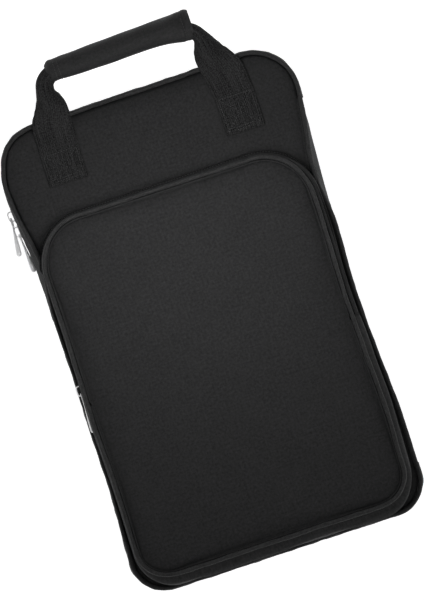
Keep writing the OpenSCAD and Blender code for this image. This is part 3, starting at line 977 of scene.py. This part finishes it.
def sleeve(name, body, node, edge_name, edge_node, channels, z_foot, up):
    """A row of stick channels: cloth that arches between the lines where it is sewn to the lining."""
    boxes = [OPENINGS[c] for c in channels]
    foot_low, foot_high = low(node), high(node)
    tall = (foot_high.z - foot_low.z)
    centres = [(b[0][0] + b[1][0]) / 2 for b in boxes]
    pitch = centres[1] - centres[0]
    reach = pitch / 2 - 0.0022
    x = np.linspace(centres[0] - pitch / 2 + 0.001, centres[-1] + pitch / 2 - 0.001,
                    int(36 * len(boxes)) + 1)

    def height(x, y):
        t = np.zeros_like(x)
        for c in centres:
            u = np.clip(np.abs(x - c) / reach, 0, 1)
            t = np.maximum(t, (1 - u**3.6) ** 0.9)
        sag = 1 - 0.10 * smooth((SLEEVE_MOUTH - y) / 0.25)
        flat = np.stack([x.ravel(), y.ravel()], 1)
        crinkle = np.array([0.0022 * noise.noise(Vector((a * 45, b * 14, up)))
                            + 0.0008 * noise.noise(Vector((a * 110, b * 38, up))) for a, b in flat])
        crinkle = crinkle.reshape(x.shape)
        return np.maximum(t * sag * (tall - 0.0012) + crinkle * t, 0.0)

    def cloth(piece, y0, y1, node_name, thick, rows, material, slot):
        y = np.linspace(y0, y1, rows)
        grid_y, grid_x = np.meshgrid(y, x, indexing="ij")
        h = height(grid_x, grid_y) + 0.0005
        hx = np.gradient(h, axis=1) / np.gradient(grid_x, axis=1)
        nx, nz = -hx / np.sqrt(1 + hx**2), 1 / np.sqrt(1 + hx**2)
        outer = np.stack([grid_x + nx * thick / 2, grid_y, z_foot + up * (h + nz * thick / 2)], 2)
        inner = np.stack([grid_x - nx * thick / 2, grid_y, z_foot + up * (h - nz * thick / 2)], 2)
        m = len(x)
        ring = np.concatenate([outer, inner[:, ::-1]], 1)
        along = lengths(np.column_stack([x, h[0]]))
        v = np.concatenate([along, along[-1] + 0.001 + along[-1] - along[::-1], [2 * along[-1] + 0.002]])
        faces, uvs = grid_faces(rows, 2 * m, False, y, v)
        faces, uvs = close_ends(faces, uvs, rows, list(zip(x[:-1], x[1:])))
        if up > 0:
            faces, uvs = turned(faces, uvs)
        obj = place(make(piece, ring.reshape(-1, 3), faces, uvs, material), body, slot, node_name)
        return obj, along[-1], y1 - y0

    obj, wide, long = cloth(name, foot_low.y, SLEEVE_MOUTH, node, 0.0006, 110, SLEEVE, "sleeve_fabric")
    edge, _, _ = cloth(edge_name, SLEEVE_MOUTH - 0.0002, SLEEVE_MOUTH + 0.009, edge_node, 0.0016, 7,
                       BINDING, "binding_tape")


sleeve("back_sleeve", "back", "back_stick_sleeve", "back_sleeve_edge", "back_sleeve_binding",
       ["back_channel_%d" % i for i in (1, 2, 3, 4)], LINING_Z, 1)
sleeve("front_sleeve", "front_cover", "front_stick_sleeve", "front_sleeve_edge", "front_sleeve_binding",
       ["front_channel_%d" % i for i in (1, 2, 3)], FRONT_Z - LINING_Z, -1)


# ---------------------------------------------------------------- front pocket

def leaning(run, top, bottom, right, left):
    """A distance for each side of an outline, blended round its corners."""
    nx, ny = run.n[:, 0], run.n[:, 1]
    return (top * np.maximum(ny, 0) ** 2 + bottom * np.maximum(-ny, 0) ** 2
            + right * np.maximum(nx, 0) ** 2 + left * np.maximum(-nx, 0) ** 2)


def pocket_foot(run):
    """How far the pocket's wall stands out where it is sewn to the front panel."""
    return leaning(run, 0.0044, 0.0078, 0.0066, 0.0026)


def overhang(t):
    """The wall stands nearly upright and turns in towards the piping only near its top."""
    return smooth((t - 0.60) / 0.40)


def pocket_brow(run):
    """How far in the pocket's piping lies; its top edge is not quite level."""
    tilt = 0.009 * np.maximum(run.n[:, 1], 0) ** 2 * run.x
    return -leaning(run, -0.0006, 0.0038, 0.0008, 0.0006) - tilt


POCKET_FOOT_Z = FRONT_Z - 0.0022
POCKET_BROW_Z = FACE_Z - 0.0016
POCKET_COIL_Z = (high("pocket_zip_coil_lower").z + low("pocket_zip_coil_upper").z) / 2
POCKET_LOW_TOP = 0.0630
POCKET_HIGH_FOOT = 0.0710
FLAP_START = (0, FOLD_Y - 0.007, FACE_Z)
FLAP_FINISH = (0, FOLD_Y + 0.007, FACE_Z)


def pocket_wall(run, z0, z1, steps):
    """Part of the pocket's side wall between two heights, with the long folds of slack cloth."""
    foot, brow = pocket_foot(run), pocket_brow(run)
    slack = 0.25 + leaning(run, 0.0, 0.85, 0.55, 0.0)
    drift = ripple(run.s, [(0.19, 0.16), (0.083, 0.10)], 0.3)
    outer = []
    for k in np.linspace(0, 1, steps):
        z = z0 + (z1 - z0) * k
        t = (z - POCKET_FOOT_Z) / (POCKET_BROW_Z - POCKET_FOOT_Z)
        fold = slack * 0.0009 * np.sin(2 * math.pi * (1.6 * t + drift)) * np.sin(math.pi * np.clip(t, 0, 1))
        tuck = 0.0026 * bell((1 - t) / 0.09) - 0.0010 * bell((0.76 - t) / 0.13)
        outer.append((foot * (1 - overhang(t)) + brow * overhang(t) + fold - tuck, z))
    return doubled(outer, 0.0013)


def flap_bend(obj, slot, *nodes):
    return bend(obj, "front_cover", "pocket_flap", FLAP_START, FLAP_FINISH, slot, *nodes)


zipped_part = smooth((POCKET.y - FOLD_Y + 0.004) / 0.008)
wall_top = POCKET_BROW_Z + (POCKET_LOW_TOP - POCKET_BROW_Z) * zipped_part
pocket_base = band("pocket_wall_base", POCKET, pocket_wall(POCKET, POCKET_FOOT_Z, wall_top, 17), SHELL_PAINTED_LIGHTER)
place(pocket_base, "front_cover", "shell_fabric", "pocket_gusset_lower")
flap_wall = band("pocket_wall_flap", FLAP, pocket_wall(FLAP, POCKET_HIGH_FOOT, POCKET_BROW_Z, 7), SHELL_PAINTED_LIGHTER)
flap_bend(flap_wall, "shell_fabric", "pocket_gusset_upper")

MIDDLE = (POCKET_COIL_Z - POCKET_FOOT_Z) / (POCKET_BROW_Z - POCKET_FOOT_Z)
ZIP_RECESS = leaning(FLAP, 0.0024, 0.0, 0.0020, 0.0024)
flap_mid = pocket_foot(FLAP) * (1 - overhang(MIDDLE)) + pocket_brow(FLAP) * overhang(MIDDLE) - ZIP_RECESS


def pocket_tape(name, z0, z1):
    """Half of the pocket's zip tape, between two heights."""
    outer = [(flap_mid - 0.0013, z) for z in np.linspace(z0, z1, 5)]
    return band(name, FLAP, doubled(outer, 0.0006), TAPE)


place(pocket_tape("pocket_zip_tape_base", 0.0592, 0.0661), "front_cover", "zip_tape",
      "pocket_zip_tape_lower")
flap_bend(pocket_tape("pocket_zip_tape_flap", 0.0679, 0.0748), "zip_tape", "pocket_zip_tape_upper")
place(helix_band("pocket_zip_teeth_base", FLAP, flap_mid - 0.0007, POCKET_COIL_Z - 0.0019, 0.0010, 0.00115,
                 0.0014, 0.0003, 0.0), "front_cover", "zip_coil", "pocket_zip_coil_lower")
flap_bend(helix_band("pocket_zip_teeth_flap", FLAP, flap_mid - 0.0007, POCKET_COIL_Z + 0.0019, 0.0010,
                     0.00115, 0.0014, 0.0003, 0.5), "zip_coil", "pocket_zip_coil_upper")

pocket_tab_low, pocket_tab_high = low("pocket_zip_end_tabs"), high("pocket_zip_end_tabs")
pocket_tabs = [rounded_box("tab", (x - 0.0009, pocket_tab_low.y, pocket_tab_low.z),
                           (x + 0.0011, pocket_tab_high.y + 0.001, pocket_tab_high.z), 0.0009, TAPE)
               for x in (POCKET_LEFT - 0.0003, POCKET_RIGHT + 0.0012)]
place(join("pocket_end_tabs", pocket_tabs), "front_cover", "zip_tape", "pocket_zip_end_tabs")

pocket_face = padded_panel("pocket_face", offset_loop(POCKET, 0.0031 - pocket_brow(POCKET)),
                           FACE_Z - 0.0048, 0.0042, 0.0019, 0.0044)
flap_bend(pocket_face, "shell_fabric", "pocket_panel_lower", "pocket_panel_upper")
pocket_cord = cord_band("pocket_piping_cord", POCKET, pocket_brow(POCKET) + 0.0002, FACE_Z - 0.0013,
                        POCKET_CORD_R, 3.1)
flap_bend(pocket_cord, "piping", "pocket_piping_lower", "pocket_piping_upper")


# ---------------------------------------------------------------- lying on the front panel

def surface(*objs):
    """Height of the highest of these pieces at each (x, y), or the front's where there is none."""
    trees = [BVHTree.FromPolygons([v.co[:] for v in o.data.vertices],
                                  [tuple(p.vertices) for p in o.data.polygons]) for o in objs]

    def at(x, y):
        hits = [t.ray_cast(Vector((x, y, 0.2)), Vector((0, 0, -1)))[0] for t in trees]
        return max([h.z for h in hits if h is not None], default=FRONT_Z)

    return at


front_top = surface(front_shell)


def flange():
    """Seam allowance of the pocket's wall, turned out and topstitched to the front panel."""
    run = POCKET.cut(POCKET.y > 0.086)
    fade = smooth((run.y - 0.088) / 0.012)
    foot = pocket_foot(run)
    ruck = ripple(run.s, [(0.024, 0.00028), (0.011, 0.00016)], 1.4)
    wide = 0.0026 + 0.0008 * fade + ruck
    outer, inner = [], []
    for k in np.linspace(0, 1, 7):
        n = foot - 0.0012 + (wide + 0.0012) * k * (0.25 + 0.75 * fade)
        xy = run.p + run.n * n[:, None]
        base = np.array([front_top(x, y) for x, y in xy])
        groove = 0.0009 * bell((k - 0.60) / 0.11)
        lift = (0.0013 * (1 - k**8) - groove) * fade + 0.0001 - 0.0008 * (1 - fade)
        outer.append((n, base + lift))
        inner.append((n, base - 0.0004 - 0.0008 * (1 - fade)))
    return band("pocket_flange", run, outer + inner[::-1], SHELL_PAINTED_LIGHTER, settled=False)


place(flange(), "front_cover", "shell_fabric")


# ---------------------------------------------------------------- handle

GRIP_Z = (low("handle_grip_sleeve").z + high("handle_grip_sleeve").z) / 2
GRIP_LEFT, GRIP_RIGHT = low("handle_grip_sleeve").x, high("handle_grip_sleeve").x
STRAP_W = 0.0385
STRAP_T = 0.0017


def curl(share):
    """Half angle through which a strap is curled, where it shows only a share of its width."""
    if share >= 0.999:
        return 0.03
    a, b = 0.03, 3.0
    for _ in range(40):
        m = (a + b) / 2
        seen = math.sin(m) / m if m < math.pi / 2 else 1 / m
        a, b = (m, b) if seen > share else (a, m)
    return a


def spline(points, count):
    """Smooth curve through points, at even steps; each point may have any number of values."""
    p = np.asarray(points, float)
    t = lengths(p[:, :2])
    fine = np.linspace(0, t[-1], count)
    slope = np.gradient(p, t, axis=0)
    k = np.clip(np.searchsorted(t, fine, side="right") - 1, 0, len(t) - 2)
    h = (t[k + 1] - t[k])[:, None]
    u = ((fine - t[k])[:, None]) / h
    return ((2 * u**3 - 3 * u**2 + 1) * p[k] + (u**3 - 2 * u**2 + u) * h * slope[k]
            + (-2 * u**3 + 3 * u**2) * p[k + 1] + (u**3 - u**2) * h * slope[k + 1])


def leg(name, route, on_panel, seed, *nodes):
    """One leg of the handle: webbing that lies on the panel, leaves it over the piping and curls
    round the grip's core. The route's points are (x, y, height, shown width)."""
    path = spline(route, 96)
    t = unit(np.gradient(path[:, :2], axis=0))
    side = np.stack([t[:, 1], -t[:, 0]], 1)
    along = lengths(path[:, :3])
    across = 41
    u = np.linspace(-1, 1, across)
    rib = 0.00014 * np.cos(u * math.pi * 17)
    free = smooth((path[:, 1] - 0.234) / 0.03)
    top = np.zeros((len(path), across, 3))
    under = np.zeros_like(top)
    for i, (x, y, z, wide) in enumerate(path):
        a = curl(min(wide / STRAP_W, 1.0))
        r = STRAP_W / 2 / a
        stretch = max(wide / STRAP_W, 1.0)
        dip = smooth((y - 0.238) / 0.020)
        out = r * np.sin(a * u) * stretch
        down = -r * (1 - np.cos(a * u)) * dip
        crumple = free[i] * (0.0005 * np.sin(u * 4.3 + along[i] * 95 + seed)
                             + 0.0002 * np.sin(u * 8.1 - along[i] * 170 + seed))
        nx, nz = np.sin(a * u * dip), np.cos(a * u * dip)
        for target, push in ((top, STRAP_T / 2 + rib), (under, -STRAP_T / 2)):
            o = out + nx * (push + crumple)
            target[i, :, 0] = x + side[i, 0] * o
            target[i, :, 1] = y + side[i, 1] * o
            target[i, :, 2] = z + down + nz * (push + crumple)
    for i in range(len(path)):
        hold = 1 - smooth((path[i, 1] - on_panel) / 0.018)
        if hold > 0:
            for j in range(across):
                x, y = top[i, j, :2]
                rest = front_top(x, y)
                want = rest + STRAP_T + 0.0002 + rib[j]
                top[i, j, 2] += (want - top[i, j, 2]) * hold
                under[i, j, 2] += (rest + 0.0001 - under[i, j, 2]) * hold
    ring = np.concatenate([top, under[:, ::-1]], 1)
    v = np.concatenate([np.linspace(0, STRAP_W, across), np.linspace(STRAP_W, 0, across) + 0.002,
                        [0.002]])
    faces, uvs = grid_faces(len(path), 2 * across, False, along, v)
    faces, uvs = close_ends(faces, uvs[:, ::-1], len(path), [(0, 0.001)] * (across - 1))
    obj = make(name, ring.reshape(-1, 3), faces, uvs, WEBBING, 60)
    return bend(obj, "front_cover", "handle", (0, 0.226, 0.0570), (0, 0.246, 0.0594), "webbing", *nodes), path


LEFT_LEG = [
    (-0.0875, 0.1705, 0.0583, 0.0385), (-0.0872, 0.195, 0.0583, 0.0385), (-0.0864, 0.216, 0.0590, 0.0388),
    (-0.0853, 0.2290, 0.0608, 0.0390), (-0.0832, 0.2360, 0.0626, 0.0355), (-0.0819, 0.2440, 0.0648, 0.0312),
    (-0.0819, 0.2520, 0.0662, 0.0245), (-0.0820, 0.2600, 0.0670, 0.0172), (-0.0797, 0.2680, 0.0672, 0.0150),
    (-0.0735, 0.2735, 0.0672, 0.0140), (-0.0640, 0.2760, 0.0670, 0.0140),
]
RIGHT_LEG = [
    (0.0897, 0.1637, 0.0583, 0.0385), (0.0901, 0.187, 0.0583, 0.0385), (0.0894, 0.206, 0.0586, 0.0390),
    (0.0870, 0.2240, 0.0600, 0.0390), (0.0822, 0.2360, 0.0622, 0.0355), (0.0797, 0.2430, 0.0640, 0.0318),
    (0.0785, 0.2500, 0.0656, 0.0262), (0.0774, 0.2570, 0.0668, 0.0190), (0.0750, 0.2640, 0.0676, 0.0130),
    (0.0700, 0.2705, 0.0680, 0.0130), (0.0620, 0.2750, 0.0680, 0.0130),
]
left_leg, left_path = leg("handle_webbing_left", LEFT_LEG, 0.216, 0.4, "handle_anchor_left", "handle_strap")
right_leg, right_path = leg("handle_webbing_right", RIGHT_LEG, 0.212, 2.6, "handle_anchor_right")

# Down the grip: x, y of its middle, its radius and how flat it is
GRIP_FORM = [
    (-0.0750, 0.2766, 0.0076, 0.92), (-0.0737, 0.2768, 0.0097, 0.92), (-0.0712, 0.2770, 0.0109, 0.92),
    (-0.066, 0.2772, 0.0111, 0.94),
    (-0.045, 0.2774, 0.0114, 0.97), (-0.020, 0.2779, 0.0118, 1.0), (0.005, 0.2785, 0.0122, 1.0),
    (0.030, 0.2792, 0.0126, 0.98), (0.052, 0.2786, 0.0138, 0.94), (0.062, 0.2781, 0.0149, 0.88),
    (0.068, 0.2779, 0.0150, 0.86), (0.0718, 0.2778, 0.0138, 0.84),
]
GRIP_WALL = 0.0022


def grip_lean(x):
    """The grip's place along its length from 0 to 1, and how far its left end slants there."""
    u = (x - GRIP_LEFT) / (GRIP_RIGHT - GRIP_LEFT)
    return u, 0.0008 * bell((u + 0.02) / 0.06)


def grip():
    """Wrapped grip: cloth over foam that is tight at its stitched ends and open round the webbing."""
    path = spline(GRIP_FORM, 120)
    sides = 56
    a = np.arange(sides) * 2 * math.pi / sides
    co, inner = [], []
    for x, y, r, flat in path:
        u, slant = grip_lean(x)
        pinch = (0.00050 * bell((x + 0.0665) / 0.0016) + 0.00050 * bell((x + 0.0625) / 0.0016)
                 + 0.00055 * bell((x - 0.0635) / 0.0016))
        seam = 0.0006 * bell(np.angle(np.exp(1j * (a + 1.05))) / 0.10)
        soft = (0.00045 * np.sin(3 * a + x * 95) * bell((u - 0.97) / 0.12)
                + 0.00022 * np.sin(2 * a - x * 60) + 0.00012 * np.sin(5 * a + x * 180))
        lip = 0.0009 * (bell(u / 0.008) + bell((u - 1.02) / 0.010))
        for rr, ring in ((r - pinch + seam + soft - lip, co), (np.full(sides, r - GRIP_WALL), inner)):
            cy, cz = np.cos(a) * rr, np.sin(a) * rr * flat
            ring.append(np.stack([x - slant * np.cos(a), y + cy, GRIP_Z + 0.0003 + cz], 1))
    outer, inner = np.array(co), np.array(inner)
    loop = np.concatenate([outer, inner[::-1]], 0)
    along = lengths(loop[:, 0])
    along = np.append(along, along[-1] + GRIP_WALL)
    v = np.arange(sides + 1) * 0.0118 * 2 * math.pi / sides
    faces, uvs = grid_faces(len(loop), sides, True, along, v)
    faces = faces[:, ::-1]
    uvs = uvs.reshape(-1, 4, 2)[:, ::-1].reshape(-1, 2)
    obj = make("handle_grip", loop.reshape(-1, 3), faces, uvs, GRIP, 50)
    return place(obj, "handle", "grip_fabric", "handle_grip_sleeve", "handle_grip_foam")


handle_grip = grip()


# ---------------------------------------------------------------- stitches

STITCH = 0.0028


def threads(name, paths, body, radius=0.00026):
    """Rows of stitches. A path is a list of points with the way out of the cloth at each of them."""
    rows, sides = 5, 6
    swell = np.array([0.45, 0.92, 1.0, 0.92, 0.45]) * radius
    rise = np.array([-1.0, -0.1, 0.35, -0.1, -1.0]) * 0.00022
    verts, faces, uvs = [], [], []
    for line, normal in paths:
        line = np.asarray(line, float)
        normal = np.broadcast_to(np.asarray(normal, float), line.shape)
        along = lengths(line)
        count = max(1, round(along[-1] / STITCH))
        step = along[-1] / count
        for k in range(count):
            s = (k + np.linspace(0.10, 0.88, rows)) * step
            c = np.stack([np.interp(s, along, line[:, i]) for i in range(3)], 1)
            n = np.stack([np.interp(s, along, normal[:, i]) for i in range(3)], 1)
            t = c[-1] - c[0]
            t /= max(np.linalg.norm(t), 1e-9)
            n = unit(n - (n @ t)[:, None] * t)
            c = c + n * rise[:, None]
            ring = c[:, None] + swell[:, None, None] * rings(np.cross(t, n), n, sides)
            base = len(verts)
            verts += [tuple(v) for v in ring.reshape(-1, 3)]
            verts += [tuple(c[0] - t * radius * 0.3), tuple(c[-1] + t * radius * 0.3)]
            first = base + rows * sides
            for i in range(rows - 1):
                for j in range(sides):
                    j1 = (j + 1) % sides
                    lo, hi = base + i * sides, base + (i + 1) * sides
                    faces.append((lo + j, lo + j1, hi + j1, hi + j))
                    uvs += [(s[i], j * 3e-4), (s[i], j * 3e-4 + 3e-4), (s[i + 1], j * 3e-4 + 3e-4),
                            (s[i + 1], j * 3e-4)]
            last = base + (rows - 1) * sides
            for j in range(sides):
                j1 = (j + 1) % sides
                faces.append((base + j1, base + j, first))
                faces.append((last + j, last + j1, first + 1))
                uvs += [(0, 0)] * 6
    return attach(make(name, verts, faces, uvs, THREAD, 80), body)


UP = (0.0, 0.0, 1.0)


def lay(xy, top, lift=0.00012):
    """Points of a plan line, laid on a surface."""
    return [(x, y, top(x, y) + lift) for x, y in xy]


def straight(p, q):
    """Even steps from p to q."""
    n = max(2, int(math.dist(p, q) / 0.0012))
    return [(p[0] + (q[0] - p[0]) * k / n, p[1] + (q[1] - p[1]) * k / n) for k in range(n + 1)]


TOPSTITCH = POCKET.cut(POCKET.y > 0.094)
flange_top = surface(front_shell, bpy.data.objects["pocket_flange"])
hem = TOPSTITCH.p + TOPSTITCH.n * (pocket_foot(TOPSTITCH) + 0.0014)[:, None]
threads("pocket_topstitch", [(lay(hem, flange_top), UP)], "front_cover", radius=0.00038)


def box_stitch(obj, path, y0, y1):
    """The box with a cross in it that holds a leg of the handle."""
    top = surface(obj)
    half = STRAP_W / 2 - 0.0030

    def at(u, y):
        return np.interp(y, path[:, 1], path[:, 0]) + u * half, y

    corners = [at(-1, y0), at(1, y0), at(1, y1), at(-1, y1)]
    lines = [straight(corners[k], corners[(k + 1) % 4]) for k in range(4)]
    lines += [straight(corners[0], corners[2]), straight(corners[1], corners[3])]
    lines.append(straight(at(-1, y0 + 0.0024), at(1, y0 + 0.0024)))
    return [(lay(line, top, 0.00008), UP) for line in lines]


threads("handle_box_stitch", box_stitch(left_leg, left_path, 0.1740, 0.2005)
        + box_stitch(right_leg, right_path, 0.1670, 0.1995), "front_cover", radius=0.00038)


def grip_ring(x):
    """Stitches round the grip at x."""
    path = np.array(GRIP_FORM)
    y, r, flat = (np.interp(x, path[:, 0], path[:, k]) for k in (1, 2, 3))
    _, slant = grip_lean(x)
    a = np.linspace(0, 2 * math.pi, 60)
    r = r - 0.00018
    line = np.stack([x - slant * np.cos(a), y + np.cos(a) * r, GRIP_Z + 0.0003 + np.sin(a) * r * flat], 1)
    return line, np.stack([np.zeros_like(a), np.cos(a), np.sin(a)], 1)


threads("grip_stitch", [grip_ring(x) for x in (-0.0665, -0.0625, 0.0635)], "handle", radius=0.00032)


def wall_line(run, profile_n, z):
    """A row of stitches along a side wall, at distances profile_n out from the run."""
    line = np.column_stack([run.p + run.n * profile_n[:, None], np.full(len(run.s), z)])
    return settle(line), np.column_stack([run.n, np.zeros(len(run.s))])


def wall_out(run, z, z0, z1, bulge, inset, seed):
    """Distance out of a side wall's surface at height z."""
    profile = wall_profile(run, z0, z1, bulge, inset, seed)[:WALL_ROWS]
    heights = [h for _, h in profile]
    k = min(max(int(np.searchsorted(heights, z)) - 1, 0), WALL_ROWS - 2)
    w = (z - heights[k]) / (heights[k + 1] - heights[k])
    return profile[k][0] * (1 - w) + profile[k + 1][0] * w + np.zeros(len(run.s))


HEM = 0.0021
wall_z0, wall_z1 = FRONT_Z - GUSSET_TOP, FRONT_Z - 0.0024
n_front = wall_out(ZIPPED, wall_z0 + HEM, wall_z0, wall_z1, 0.0026, ZIP_INSET, 0.4)
n_back = wall_out(ZIPPED, wall_z0 + HEM, wall_z0, wall_z1, 0.0019, 0.0, 2.2)
threads("cover_zip_stitch", [wall_line(ZIPPED, n_front + 0.0001, wall_z0 + HEM)], "front_cover")
threads("base_zip_stitch", [wall_line(ZIPPED, n_back + 0.0001, FRONT_Z - wall_z0 - HEM)], "back")


# ---------------------------------------------------------------- metal

WELD_WITHIN = 0.00002
WORN_EDGE = 0.00028

for node in ("main_slider_a", "main_slider_b", "pocket_slider", "main_pull_a", "main_pull_b", "pocket_pull"):
    part = frame["nodes"][node]
    for held in part.material_slots:
        held.link = "OBJECT"
        held.material = NICKEL
    weld = part.modifiers.new("weld", "WELD")
    weld.merge_threshold = WELD_WITHIN
    bevel = part.modifiers.new("bevel", "BEVEL")
    bevel.width = WORN_EDGE
    bevel.segments = 3
    bevel.limit_method = "ANGLE"
    bevel.angle_limit = math.radians(40)
    bevel.harden_normals = True


# ---------------------------------------------------------------- stage

floor_mesh = bpy.data.meshes.new("floor")
floor_mesh.from_pydata([(-6, -6, 0), (6, -6, 0), (6, 6, 0), (-6, 6, 0)], [], [(0, 1, 2, 3)])
floor = bpy.data.objects.new("floor", floor_mesh)
bpy.context.scene.collection.objects.link(floor)
FLOOR = bpy.data.materials.new("floor")
FLOOR.use_nodes = True
for label, value in (("Base Color", (0.5, 0.5, 0.5, 1)), ("Roughness", 0.9),
                     ("Emission Color", (1, 1, 1, 1)), ("Emission Strength", 0.97)):
    FLOOR.node_tree.nodes["Principled BSDF"].inputs[label].default_value = value
floor_mesh.materials.append(FLOOR)

world = bpy.context.scene.world or bpy.data.worlds.new("world")
bpy.context.scene.world = world
world.use_nodes = True
sky = world.node_tree
sky.nodes["Background"].inputs["Color"].default_value = (1, 1, 1, 1)
direction = sky.nodes.new("ShaderNodeTexCoord")
split_sky = sky.nodes.new("ShaderNodeSeparateXYZ")
fade_up = sky.nodes.new("ShaderNodeMapRange")
fade_up.interpolation_type = "SMOOTHSTEP"
# White near the horizon, as studio walls are, and dim overhead
for label, value in (("From Min", 0.05), ("From Max", 0.45), ("To Min", 0.95), ("To Max", 0.07)):
    fade_up.inputs[label].default_value = value
sky.links.new(direction.outputs["Generated"], split_sky.inputs[0])
sky.links.new(split_sky.outputs["Z"], fade_up.inputs["Value"])
sky.links.new(fade_up.outputs[0], sky.nodes["Background"].inputs["Strength"])
bpy.context.scene.view_settings.view_transform = "Standard"


def area_light(name, at, aim, size, watts):
    """Soft box above the bag."""
    lamp = bpy.data.lights.new(name, "AREA")
    lamp.shape = "RECTANGLE"
    lamp.size, lamp.size_y = size
    lamp.energy = watts
    obj = bpy.data.objects.new(name, lamp)
    obj.location = at
    obj.rotation_euler = (Vector(aim) - Vector(at)).to_track_quat("-Z", "Y").to_euler()
    bpy.context.scene.collection.objects.link(obj)


area_light("key", (0.0, 0.10, 0.36), (0, 0.10, 0.05), (0.20, 0.20), 0.80)
area_light("overhead", (0.10, -0.30, 1.75), (0.05, -0.10, 0.05), (1.0, 1.0), 5.0)
area_light("fill", (-0.9, 0.5, 1.6), (0, 0, 0.05), (1.2, 1.2), 1.2)
area_light("low_fill", (0.70, -0.95, 0.60), (0, -0.05, 0.05), (0.8, 0.8), 0.8)

camera = bpy.data.cameras.new("camera")
camera.lens, camera.sensor_width, camera.sensor_fit = 200, 36, "VERTICAL"
camera.sensor_height = 36
# Straight above the bag, which lies turned in the photo
CAMERA_AT = (0.0069, 0.0190, 3.268)
CAMERA_TURN = math.radians(-18.4)
view = bpy.data.objects.new("camera", camera)
view.location = CAMERA_AT
view.rotation_euler = (0, 0, CAMERA_TURN)
bpy.context.scene.collection.objects.link(view)
bpy.context.scene.camera = view
